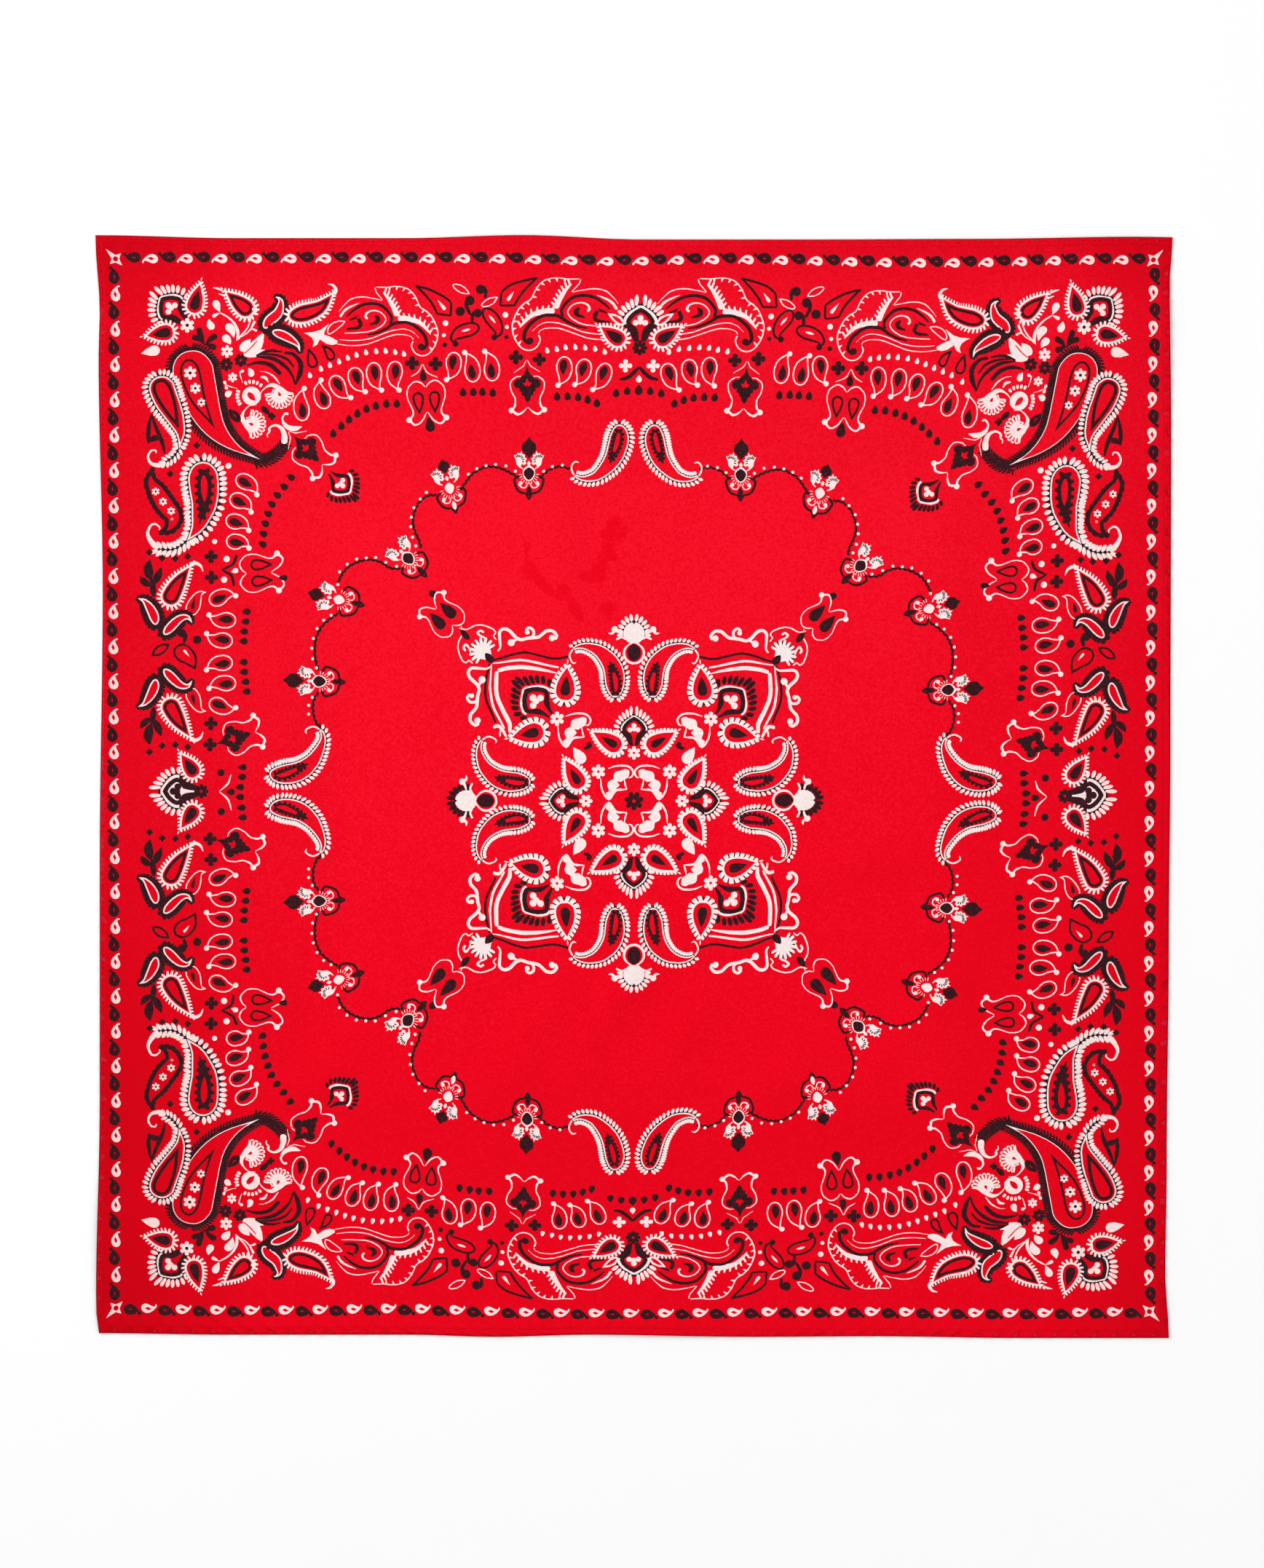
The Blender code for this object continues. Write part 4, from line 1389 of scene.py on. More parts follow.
def toothed_paisley(spine: tuple, width: float, belly: float, core: tuple,
                    teeth: float = 6.6) -> Drawing:
    """A white leafy paisley whose tail ends in a thin curl, with a thorned dark core.

    Args:
        spine: places along it, from the head to the end of the curl.
        width: across its white line.
        belly: place of the greatest width, as a share of the spine.
        core: places along the core, from its head.
        teeth: length of the leaves.

    Returns:
        The paisley.
    """
    body = Brush.along(spine, width, belly, 2.2)
    place = np.linspace(0, 1, SPINE_PLACES)
    curl = CURL_HALF * np.clip((1 - place) * 30, 0, 1) * (place > belly)
    body = Brush(body.path, np.maximum(body.half, curl))
    share = np.linspace(0, 0.8, 90)
    drawing = Drawing().add(WHITE, body.outline()).add(BLACK, body.closed(share, 0.4 * teeth))
    drawing.add(WHITE, *body.leaves(4.9, 1.2 * teeth, 0.7, (0.4, 0.4), near_tip=0.7, end=0.8,
                                    fill=1.04))
    drawing.add(BLACK, body.closed(share, 0.7)).add(WHITE, body.closed(share, 0.5))
    drawing.add(GROUND, body.closed(share, -1.7))
    thorns = Brush.along(core, 11.6, 0.34, 0.9)
    drawing.add(BLACK, thorns.outline(),
                *thorns.leaves(6.0, 4.4, -1.0, (0.3, 0.3), near_tip=0.8, end=0.9, fill=0.7))
    return drawing.add(GROUND, thorns.closed(np.linspace(0, 0.66, 30), -2.6))


def peony() -> Drawing:
    """A white peony in profile between two thin arcs, about the middle, facing down right."""
    head = ((6.5, -17.1), (12.3, -19.5), (18.1, -17.1), (18.1, -12.1), (16.5, -7.1), (12.3, -4.5),
            (14, 2.9), (15.3, 9.5), (9, 10.5), (0.6, 12), (-3.5, 17.9), (-6, 22), (-10.2, 23.7),
            (-13.5, 19.5), (-14.4, 13.7), (-10.2, 10.5), (-12.7, 4.5), (-11, -2.1), (-4.4, -5.5),
            (-3.5, -13), (0.6, -16.3))
    heart = ((10.6, -4.5), (7, -1.6), (0.6, -2.1), (4.6, 3), (-1, 8.7), (4, 7.6), (9.6, 8.2),
             (13.2, 8), (11, 2.4))
    drawing = Drawing().add(WHITE, smooth_path(head, 76, closed=True)).add(GROUND, np.array(heart))
    return drawing.join(strokes(
        WHITE,
        ((2, 3.2, 3.4, 3.6, 2.8), ((-11.9, -19.5), (0.6, -23.5), (15.6, -23), (23.1, -16.3),
                                   (21.5, -8.8), (16.5, -7))),
        ((2, 3.2, 3.4, 2.8), ((-21.4, -7.1), (-20.2, 7.9), (-14.4, 19.5), (-8.5, 23.7))),
    ))


def frame_paisley(upright: bool = False) -> Drawing:
    """One of the paisleys whose curls end the lobed line: at the top, or beside the left middle."""
    if upright:
        return toothed_paisley(((850, 583), (850, 600), (847, 616), (841, 631), (831, 644),
                                (818, 654.4), (801, 657.6), (788.4, 652.3), (784.6, 641.8),
                                (789.5, 634.4), (797, 636.5)),
                               27.5, 0.17, ((849, 590), (848, 604), (837.5, 637)), 7.4)
    return toothed_paisley(((370, 1063), (388, 1064), (411, 1059.5), (428, 1047), (439, 1030),
                            (444, 1015), (441, 1004), (430, 998), (420, 1003),
                            (422, 1010)), 27.5, 0.2,
                           ((377, 1065), (391, 1064), (424, 1049)), 7.4)


@dataclass(frozen=True)
class CentreMedallion:
    """The square medallion in the middle of the cloth, drawn about its own middle."""

    x: float = 870.7
    y: float = 1100.3

    def upper(self, dark: bool) -> Drawing:
        """What stands on the upright axis above the middle; dark sets the crest's petals."""
        drawing = Drawing()
        crest = Brush.along(((0, -245.5), (0, -234), (0, -213)), 29, 0.5, 1.0)
        if not dark:
            drawing.add(BLACK, crest.closed(np.linspace(0, 0.5, 60), 3.0))
        drawing.add(BLACK if dark else WHITE,
                    *crest.leaves(5.9, 12.6, 0.4, near_tip=0.5, end=0.58, fill=0.98))
        drawing.add(WHITE, crest.outline(0.6))
        drawing.add(BLACK, np.array(((-2.6, -247), (0, -243.2), (2.6, -247))))
        half = strokes(WHITE, ((3, 4, 6), ((14, -230.5), (20, -231.5), (26, -235.5))),
                       ((6, 4, 1.6), ((27, -234), (30.5, -230), (36, -230.6))),
                       ((4.4, 3.4, 3.8), ((8, -221.5), (17, -225), (25, -221.5))))
        half.join(dots(WHITE, (26.4, -235.8, 4.8)))
        drawing.join(halves(half))
        for ink, heights, width, tail in ((WHITE, (-187, -203, -219.5), 31.5, 0.75),
                                          (GROUND, (-190.4, -203, -217), 24.5, 0.75),
                                          (BLACK, (-192.4, -204, -215.5), 18, 0.7)):
            spine = [(0, height) for height in heights]
            drawing.add(ink, Brush.along(spine, width, 0.5, tail).outline())
        spine = ((-25.7, -142), (-26.2, -160), (-27.4, -177), (-34, -192), (-48, -206),
                 (-66, -212.5), (-81, -210.3), (-88.5, -200), (-84, -189.5), (-77.4, -191))
        half = toothed_paisley(spine, 28, 0.2, ((-25.7, -146), (-25, -164), (-33, -192)))
        half.join(white_fringed(Brush.drop(-28, -78, -59, -96, 26), Core.THICK_DROP, 4.9, 6.0,
                                close=True))
        drawing.join(halves(half), petal_medallion(0, 0.86).placed(0, -99))
        return drawing.join(flower(0, -66, 9.6, eye=GROUND))

    def corner(self) -> Drawing:
        """What stands between two axes, above and to the left of the middle."""
        drawing = peony().placed(-24.3, -24.8)
        drawing.join(flower(-49, -40.3, 10.4, eye=GROUND))
        drawing.join(peony().placed(-83, -96.5), flower(-105.7, -112.8, 10.6, eye=GROUND))
        drawing.add(WHITE, Brush.drop(-73.2, -58.6, -84, -74.5, 16.5).outline())
        drawing.join(strokes(BLACK, ((6, 6.4, 5), ((-63.5, -80.5), (-61, -76), (-62.5, -73))),
                             ((5, 4.6, 3.6), ((-61.5, -74), (-69, -71.5)))))
        drawing.join(strokes(
            WHITE,
            ((6, 6.6, 6.4, 6, 4.5, 2), ((-188, -178.5), (-176, -182), (-155.7, -184),
                                        (-132, -181.5), (-115.7, -178), (-104, -175))),
            ((6, 6.4, 6.4, 6.4, 7, 5), ((-188.5, -179), (-189.3, -161), (-188, -143.6),
                                        (-180, -124.5), (-171, -107), (-170.3, -93))),
            ((2.4, 4, 4, 3.2), ((-195, -189), (-182.4, -190), (-170.7, -192.3), (-154, -193.6),
                                (-135.7, -190.6), (-117.4, -186), (-102.4, -183.3))),
            ((2.4, 4, 4, 3.2), ((-195.4, -188.6), (-197, -168.6), (-197.7, -153.6), (-194, -132),
                                (-186.5, -115.3), (-177.4, -98.6))),
            ((6, 5, 4), ((-194, -101), (-186, -103), (-179.5, -96), (-175, -87))),
            ((3.6, 3, 2), ((-184, -88), (-183.5, -96), (-178, -99))),
        ))
        drawing.join(strokes(
            BLACK,
            ((2.4, 2.6, 2.6, 2.4), ((-192.4, -193.6), (-182.4, -196), (-167.4, -201), (-149, -204),
                                    (-132.4, -200.6), (-115.7, -196), (-102.4, -195.6),
                                    (-90, -198.6))),
            ((2.4, 2.6, 2.6, 2.4), ((-197.7, -188.6), (-202.4, -172), (-204.4, -152),
                                    (-202.4, -137), (-195.7, -122), (-189.9, -107.8))),
        ))
        drawing.join(petal_medallion(-45, 1.15, BLACK_CROWN, 3.3).placed(-134.5, -137.5))
        for row in ((-94.4, -151, -91.5, -186.5, 29), (-137, -94, -170.5, -86.5, 29)):
            drawing.join(white_fringed(Brush.drop(*row), Core.THICK_DROP, 6.1, 7.4, close=True))
        return drawing.join(self.finial())

    def finial(self) -> Drawing:
        """The shell on the corner in its thin white frame, the vines and the heart tulip."""
        half = strokes(
            WHITE,
            ((3, 5, 5.2, 5.2, 5.2, 4.8), ((-188, -205), (-183.6, -211), (-184.2, -223),
                                          (-184.5, -232), (-179, -236.5), (-171, -234),
                                          (-163.4, -225.5), (-155.6, -221.5), (-146, -223.6),
                                          (-131, -225.2), (-121.4, -233), (-112, -233.6),
                                          (-106, -227), (-109, -221))),
            ((3.6, 4.6, 4.6), ((-158, -223), (-163, -221), (-168, -217.5))),
            ((3.6, 4.6, 4.4), ((-150, -223), (-139, -226), (-138, -234), (-144, -238),
                               (-149.5, -233.5))),
        )
        half.join(dots(WHITE, (-168.5, -217.5, 5.4), (-146.5, -231.8, 3.8), (-112.5, -223.8, 4.8)))
        drawing = Drawing().join(half, half.transposed().placed(9, 2))
        half = strokes(
            WHITE,
            ((2.4, 2.6, 2.6), ((-241, -237.5), (-230, -235.5), (-219.4, -240.7), (-208.5, -241.7),
                               (-194.5, -236.7), (-190, -231), (-193, -226.5), (-188.5, -221))),
            ((2.8, 3.4, 3.6, 4), ((-204, -212), (-204, -223), (-211.6, -227), (-215, -231),
                                  (-210.5, -234),
                                    (-205.5, -231))),
        )
        drawing.join(half, half.transposed())
        shell = Brush.along(((-215, -213), (-206, -204), (-196, -194)), 22, 0.36, 1.0)
        drawing.add(BLACK, shell.closed(np.linspace(0, 0.56, 60), 5))
        petals = shell.fringe(3.9, 8.5, near_tip=0.9, end=0.6, base=0.4, edge=PETAL_EDGE)
        drawing.add(WHITE, petals, shell.outline())
        for spine, width, belly in ((((-226.5, -222), (-232, -228), (-238, -235)), 8, 0.5),
                                    (((-193.5, -190.5), (-197.5, -195), (-204, -203)), 10, 0.4),
                                    (((-279, -281), (-273.5, -288.5)), 10.5, 0.5)):
            drawing.add(BLACK, Brush.along(spine, width, belly, 0.9).outline())
        return drawing.join(heart_tulip(Core.SEED_SOLID).placed(-249, -241, 135, 0.92))

    def draw(self) -> Drawing:
        """The whole medallion."""
        whole = Drawing()
        for dark, turn in ((False, 0), (True, -90), (False, 180), (True, 90)):
            whole.join(self.upper(dark).placed(0, 0, turn))
        quarter = self.corner()
        top = Drawing().join(quarter, quarter.placed(0, 0, flip=True))
        whole.join(top, top.placed(0, 0, 180))
        whole.add(BLACK, rosette(0, 0, 12.8, 7, 0.42, 90))
        whole.add(GROUND, rosette(0, 0, 2.4, steps=5))
        return whole.placed(self.x, self.y)


def whole_print() -> Drawing:
    """Every motif on the face, in the order that they are painted."""
    quarter = CornerSpray().draw().join(BigPaisley().draw(), SideSpray().draw())
    quarter.join(petal_medallion(135, 0.84, BLACK_CROWN, 4.6).placed(468, 664.5))
    quarter.join(fleur_tulip().placed(421, 617, -45), TopRow().draw(), LobedFrame().draw())
    upper = Drawing().join(quarter, quarter.mirrored(x=UPRIGHT_AXIS), top_middle())
    upright, level = frame_paisley(upright=True), frame_paisley()
    upper.join(upright, upright.mirrored(x=TOP_CURLS_AXIS))
    sides = left_middle().join(level, level.mirrored(y=LEVEL_AXIS))
    sheet = Drawing().join(upper, upper.lowered(), sides, sides.mirrored(x=UPRIGHT_AXIS))
    sheet = sheet.join(BorderChain().draw()).pulled(PULLS)
    return sheet.join(CentreMedallion().draw().pulled(MEDALLION_PULLS)).spread()


# ---------------------------------------------------------------- the form of the cloth


def wave_between_rows(place: Points, rows: tuple) -> Points:
    """A wave through the rows of a two-column table in mm, level at each row."""
    keys, values = np.array(rows, dtype=float).T * MM
    place = np.clip(place, keys[0], keys[-1])
    after = np.clip(np.searchsorted(keys, place), 1, len(keys) - 1)
    before = after - 1
    part = (place - keys[before]) / (keys[after] - keys[before])
    ease = part * part * (3.0 - 2.0 * part)
    return values[before] + (values[after] - values[before]) * ease


def along_and_aside(x: Points | Wire, y: Points | Wire, middle_x: float, middle_y: float,
                    bearing: float) -> tuple[Points | Wire, Points | Wire]:
    """How far a place lies along and beside a bearing (degrees) through a middle (mm)."""
    turn = np.radians(bearing)
    from_x, from_y = x - middle_x * MM, y - middle_y * MM
    return (from_x * np.cos(turn) + from_y * np.sin(turn),
            from_y * np.cos(turn) - from_x * np.sin(turn))


def humps(x: Points, y: Points, rows: tuple) -> Points:
    """Height of a table of ripples over the ground, a squared cosine each way for each row.

    Args:
        x, y: places in metres, from the middle of the cut.
        rows: middle x and y (mm), bearing of the crest (degrees from +X), length and width
            of the ripple (mm) and height (mm).

    Returns:
        The height in metres.
    """
    height = np.zeros_like(x)
    for middle_x, middle_y, bearing, length, width, crest in rows:
        along, aside = along_and_aside(x, y, middle_x, middle_y, bearing)
        hump = np.cos(np.pi * np.clip(along / (length * MM), -0.5, 0.5)) ** 2
        height += crest * MM * hump * np.cos(np.pi * np.clip(aside / (width * MM), -0.5, 0.5)) ** 2
    return height


@dataclass(frozen=True)
class ClothForm:
    """The outline of the cloth and the heights of its face and underside."""

    width: float = 545 * MM
    height: float = 559 * MM
    # Columns: place along the edge, distance outwards from the straight edge (mm).
    top_wave: tuple = ((-272, 1.1), (-204, -0.4), (-115, -0.4), (-56, 1.1), (4, -1.1),
                       (93, -1.1), (174, -0.8), (256, 0.3), (272, 0.0))
    bottom_wave: tuple = ((-272, -1.6), (-204, -0.8), (-115, -0.8), (-70, 0.3), (-22, -0.8),
                          (63, 0.3), (122, 0.0), (196, 0.9), (272, 0.9))
    left_wave: tuple = ((-279, -0.6), (-266, 0.9), (-159, -1.0), (-41, -1.0), (100, -2.5),
                        (219, -0.4), (241, -1.0), (279, 1.2))
    right_wave: tuple = ((-279, -0.3), (-248, -2.1), (-192, -1.4), (-78, -0.3), (19, 0.5),
                         (182, 0.9), (256, 0.1), (279, 1.6))
    ripples: tuple = (
        (-52, -128, 52, 120, 34, 1.9), (-12, -112, 58, 130, 30, 2.2), (26, -126, 55, 95, 28, 1.6),
        (74, -150, 40, 110, 36, 1.4), (-158, -146, 48, 90, 36, 2.0), (-198, -196, 62, 110, 40, 1.5),
        (112, -40, 12, 130, 30, 1.2), (150, -112, 50, 140, 34, 1.7), (226, -96, 72, 120, 38, 1.6),
        (-38, 118, 96, 120, 40, 1.3), (40, 60, 84, 90, 34, 1.0), (-176, 30, 100, 160, 44, 1.2),
        (176, 150, 128, 120, 42, 1.4), (-196, 206, 40, 110, 46, 1.3), (-62, 262, 90, 66, 110, 1.6),
        (20, -262, 90, 60, 100, 1.3), (-262, -232, 0, 60, 84, 1.5), (258, 232, 0, 64, 90, 1.7),
    )
    wall: float = 0.6 * MM
    hem_rise: float = 1.15 * MM
    hem_end: float = 4.2 * MM
    slope_end: float = 8.6 * MM
    fold: float = 1.2 * MM
    edge_top: float = 0.45 * MM
    edge_bottom: float = 0.05 * MM

    def outline_point(self, across: Points, up: Points) -> tuple[Points, Points]:
        """The place of a point at fractions across and up the cloth, inside its four edges."""
        x_flat, y_flat = (across - 0.5) * self.width, (up - 0.5) * self.height
        left, right, bottom, top = self.edges(x_flat, y_flat)
        return left + (right - left) * across, bottom + (top - bottom) * up

    def edges(self, x: Points, y: Points) -> tuple[Points, Points, Points, Points]:
        """Where the left, right, bottom and top edges run beside a place."""
        return (-0.5 * self.width - wave_between_rows(y, self.left_wave),
                0.5 * self.width + wave_between_rows(y, self.right_wave),
                -0.5 * self.height - wave_between_rows(x, self.bottom_wave),
                0.5 * self.height + wave_between_rows(x, self.top_wave))

    def middle(self) -> tuple[float, float]:
        """Middle of the outline, from its furthest points each way."""
        side = np.linspace(0.0, 1.0, 400)
        left, right = (self.outline_point(np.full(400, edge), side)[0] for edge in (0.0, 1.0))
        bottom, top = (self.outline_point(side, np.full(400, edge))[1] for edge in (0.0, 1.0))
        return 0.5 * (left.min() + right.max()), 0.5 * (bottom.min() + top.max())

    def inset(self, x: Points, y: Points) -> Points:
        """Distance from the nearest edge, inwards."""
        left, right, bottom, top = self.edges(x, y)
        return np.minimum(np.minimum(x - left, right - x), np.minimum(y - bottom, top - y))

    def ring(self, inset: float, pitch: float = 10.0 * MM) -> Points:
        """A closed loop of places at one distance inside the edges, anticlockwise."""
        counts = (int(self.width / pitch), int(self.height / pitch))
        across, up = (np.linspace(inset / size, 1 - inset / size, count, endpoint=False)
                      for size, count in zip((self.width, self.height), counts))
        low_x, low_y = inset / self.width, inset / self.height
        sides = ((across, np.full_like(across, low_y)), (np.full_like(up, 1 - low_x), up),
                 (1 - across, np.full_like(across, 1 - low_y)), (np.full_like(up, low_x), 1 - up))
        return np.concatenate([np.stack(self.outline_point(*side), axis=1) for side in sides])

    def ground(self, x: Points, y: Points) -> Points:
        """How far the ripples lift the cloth."""
        return humps(x, y, self.ripples)

    def rise(self, inset: Points) -> Points:
        """How far the hem lifts the cloth: full over it, then a cosine slope to nothing."""
        part = np.clip((inset - self.hem_end) / (self.slope_end - self.hem_end), 0.0, 1.0)
        return self.hem_rise * (0.5 + 0.5 * np.cos(np.pi * part))

    def face(self, x: Points, y: Points) -> Points:
        """Height of the printed face; it turns down round the folded edge as a quarter ellipse."""
        inset = np.maximum(self.inset(x, y), 0.0)
        full = self.wall + self.rise(inset)
        rounded = quarter_round(inset / self.fold)
        return self.ground(x, y) + self.edge_top + (full - self.edge_top) * rounded

    def underside(self, x: Points, y: Points) -> Points:
        """Height of the underside, which follows the face inside the fold."""
        inset = np.maximum(self.inset(x, y), 0.0)
        rounded = quarter_round((inset - 0.35 * self.fold) / (0.4 * self.fold))
        full = self.rise(inset)
        return self.ground(x, y) + self.edge_bottom + (full - self.edge_bottom) * rounded

    def normals(self, x: Points, y: Points, height: Callable) -> Points:
        """Unit normals of a height, from its differences over a tenth of a millimetre."""
        step = 0.05 * MM
        slope_x = (height(x + step, y) - height(x - step, y)) / (2 * step)
        slope_y = (height(x, y + step) - height(x, y - step)) / (2 * step)
        normals = np.stack((-slope_x, -slope_y, np.ones_like(x)), axis=1)
        return normals / np.linalg.norm(normals, axis=1)[:, None]


FORM = ClothForm()
MIDDLE = np.array(FORM.middle())
# How far beside a print's edge its ink is looked up
HAIR_MM = 0.004
# A place this far inside the wavering edges is inside the straight-sided first ring as well
WELL_INSIDE = 1.0 * MM


def within(points: Points, outline: Points) -> Points:
    """Which points lie inside a closed outline, by the edges that a ray to the right meets."""
    x, y = points[:, 0, None], points[:, 1, None]
    ahead = np.roll(outline, -1, axis=0)
    rise = ahead[:, 1] - outline[:, 1]
    rise = np.where(rise == 0, 1e-12, rise)
    crossing = outline[:, 0] + (y - outline[:, 1]) * (ahead[:, 0] - outline[:, 0]) / rise
    met = ((outline[:, 1] > y) != (ahead[:, 1] > y)) & (x < crossing)
    return met.sum(axis=1) % 2 == 1


def inks_at(points: Points, shapes: list[tuple[Ink, Points]]) -> Points:
    """The ink number that shows at each point, which is that of the last shape over it."""
    inks = np.zeros(len(points), dtype=int)
    order = np.argsort(points[:, 0])
    across, up = points[order].T
    for ink, outline in shapes:
        low, high = outline.min(axis=0), outline.max(axis=0)
        first, last = np.searchsorted(across, (low[0], high[0]))
        near = order[first:last][(up[first:last] > low[1]) & (up[first:last] < high[1])]
        inks[near[within(points[near], outline)]] = ink.value
    return inks


def seen_edges(shapes: list[tuple[Ink, Points]]) -> tuple[Points, Points]:
    """The edges of stacked shapes that have different inks on their two sides.

    Each edge is looked at near its start, middle and end, a hair to the left and right.

    Args:
        shapes: the shapes, the lowest first.

    Returns:
        The places that are left, and the pairs of them that edges join.
    """
    if not shapes:
        return np.zeros((0, 2)), np.zeros((0, 2), dtype=int)
    start = np.concatenate([outline for _, outline in shapes])
    end = np.concatenate([np.roll(outline, -1, axis=0) for _, outline in shapes])
    way = end - start
    aside = turned(way) / (np.hypot(*way.T)[:, None] + 1e-12) * HAIR_MM * MM
    seen = np.zeros(len(start), dtype=bool)
    for share in (0.1, 0.5, 0.9):
        left, right = (inks_at(start + share * way + sign * aside, shapes) for sign in (-1, 1))
        seen |= left != right
    sizes = [len(outline) for _, outline in shapes]
    following = np.arange(len(start)) + 1
    following[np.cumsum(sizes) - 1] -= sizes
    pairs = np.stack((np.flatnonzero(seen), following[seen]), axis=1)
    used, index = np.unique(pairs, return_inverse=True)
    return start[used], index.reshape(-1, 2)


@dataclass(frozen=True)
class FlatMesh:
    """A triangulated flat sheet: places in metres, triangles and an ink for each triangle."""

    places: Points
    triangles: Points
    inks: Points

    @classmethod
    def cut(cls, rings: list[Points], pitch: float, shapes: list[tuple[Ink, Points]]) -> FlatMesh:
        """Triangulate the sheet inside the first ring, cut along the edges of its shapes.

        Args:
            rings: loops of places near the edge; the first is the edge itself.
            pitch: spacing of the loose places between them.
            shapes: the print, in metres.

        Returns:
            The sheet. Its first places are the first ring.
        """
        columns, rows = (np.arange(-0.5 * size, 0.5 * size, pitch) + 0.5 * pitch
                         for size in (FORM.width, FORM.height))
        loose = np.stack(np.meshgrid(columns, rows), axis=-1).reshape(-1, 2)
        loose = loose[FORM.inset(*loose.T) > FORM.slope_end + 0.4 * pitch] - MIDDLE
        drawn, cuts = seen_edges(shapes)
        taken, cells = (list(map(tuple, np.round(spots / pitch).astype(int).tolist()))
                        for spots in (drawn, loose))
        taken = set(taken)
        loose = loose[[cell not in taken for cell in cells]]
        rim = len(rings[0])
        points = np.concatenate((rings[0], drawn, loose, *rings[1:]))
        edges = [(k, (k + 1) % rim) for k in range(rim)] + (cuts + rim).tolist()
        given = [Vector(point) for point in (points / MM).tolist()]
        places, _, faces, origins, _, _ = delaunay_2d_cdt(given, edges, [], 0, 1e-4, True)
        places = np.array([tuple(place) for place in places]) * MM
        faces = np.array(faces)
        order = np.full(len(given), -1)
        for index, sources in enumerate(origins):
            order[list(sources)] = index
        edge = order[:rim]
        middles = places[faces].mean(axis=1)
        kept = within_many(middles, rings[0])
        faces, middles = faces[kept], middles[kept]
        inks = inks_at(middles, shapes)
        rank = np.full(len(places), -1)
        rank[edge] = np.arange(len(edge))
        others = np.setdiff1d(np.unique(faces), edge)
        rank[others] = len(edge) + np.arange(len(others))
        return cls(places[np.concatenate((edge, others))], rank[faces], inks)


def within_many(points: Points, outline: Points) -> Points:
    """As within, for many points on the cloth: only those near its edges are tested."""
    inner = FORM.inset(*(points + MIDDLE).T) > WELL_INSIDE
    inside = inner.copy()
    near = np.flatnonzero(~inner)
    inside[near] = within(points[near], outline)
    return inside


# ---------------------------------------------------------------- finishes


class Wire:
    """A number on a material's socket; arithmetic on it adds Math nodes."""

    def __init__(self, book: NodeBook, socket: bpy.types.NodeSocket) -> None:
        """Hold one output socket of a book of nodes."""
        self.book, self.socket = book, socket

    def maths(self, operation: str, *values: float | Wire) -> Wire:
        """One Math node on this number and others."""
        return self.book.node("ShaderNodeMath", {"operation": operation}, dict(enumerate(values)))

    def __add__(self, other: float | Wire) -> Wire:
        """The sum."""
        return self.maths("ADD", self, other)

    def __sub__(self, other: float | Wire) -> Wire:
        """The difference."""
        return self.maths("SUBTRACT", self, other)

    def __rsub__(self, other: float) -> Wire:
        """A number less this one."""
        return self.maths("SUBTRACT", other, self)

    def __mul__(self, other: float | Wire) -> Wire:
        """The product."""
        return self.maths("MULTIPLY", self, other)

    __radd__, __rmul__ = __add__, __mul__

    def absolute(self) -> Wire:
        """Its size without its sign."""
        return self.maths("ABSOLUTE", self)

    def sine(self) -> Wire:
        """Its sine."""
        return self.maths("SINE", self)

    def ramp(self, low: float, high: float, kind: str = "SMOOTHSTEP") -> Wire:
        """0 below low, 1 above high and a smooth or a straight step between."""
        return self.book.node("ShaderNodeMapRange", {"interpolation_type": kind},
                              {0: self, 1: low, 2: high, 3: 0.0, 4: 1.0})


class NodeBook:
    """The nodes of one material round its Principled shader."""

    def __init__(self, name: str) -> None:
        """Start a material of that name."""
        self.material = bpy.data.materials.new(name)
        self.material.use_nodes = True
        self.tree = self.material.node_tree
        self.shader = self.tree.nodes["Principled BSDF"]

    def node(self, kind: str, settings: dict, values: dict, output: int | str = 0) -> Wire:
        """Add a node.

        Args:
            kind: the node's type.
            settings: its own properties, set first.
            values: numbers, colours or wires for its inputs, by name or place.
            output: which output is returned.

        Returns:
            The output.
        """
        node = self.tree.nodes.new(kind)
        for name, value in settings.items():
            setattr(node, name, value)
        for key, value in values.items():
            if isinstance(value, Wire):
                self.tree.links.new(value.socket, node.inputs[key])
            else:
                node.inputs[key].default_value = value
        return Wire(self, node.outputs[output])

    def blend(self, share: Wire | float, first: Wire | tuple, second: Wire | tuple) -> Wire:
        """A colour between two, by a share from 0 to 1."""
        settings = {"data_type": "RGBA"}
        return self.node("ShaderNodeMix", settings, {0: share, 6: first, 7: second}, 2)

    def feed(self, **wires: Wire) -> None:
        """Link outputs to the shader; an underscore stands for a space in a socket's name."""
        for name, wire in wires.items():
            self.tree.links.new(wire.socket, self.shader.inputs[name.replace("_", " ")])

    def steady(self, **values: float | tuple) -> None:
        """Set sockets of the shader that are the same all over."""
        for name, value in values.items():
            self.shader.inputs[name.replace("_", " ")].default_value = value

    def places(self) -> tuple[Wire, Wire, Wire]:
        """Object coordinates as a vector, and its x and y."""
        vector = self.node("ShaderNodeTexCoord", {}, {}, "Object")
        split = self.tree.nodes.new("ShaderNodeSeparateXYZ")
        self.tree.links.new(vector.socket, split.inputs[0])
        return vector, Wire(self, split.outputs[0]), Wire(self, split.outputs[1])

    def noise(self, vector: Wire, scale: float, detail: float) -> Wire:
        """Even noise from 0 to 1; scale is in cells a metre."""
        values = {"Vector": vector, "Scale": scale, "Detail": detail}
        return self.node("ShaderNodeTexNoise", {}, values)

    def stretched(self, vector: Wire, x: float, y: float) -> Wire:
        """The vector with its x and y multiplied."""
        values = {0: vector, 1: (x, y, 1.0)}
        return self.node("ShaderNodeVectorMath", {"operation": "MULTIPLY"}, values)


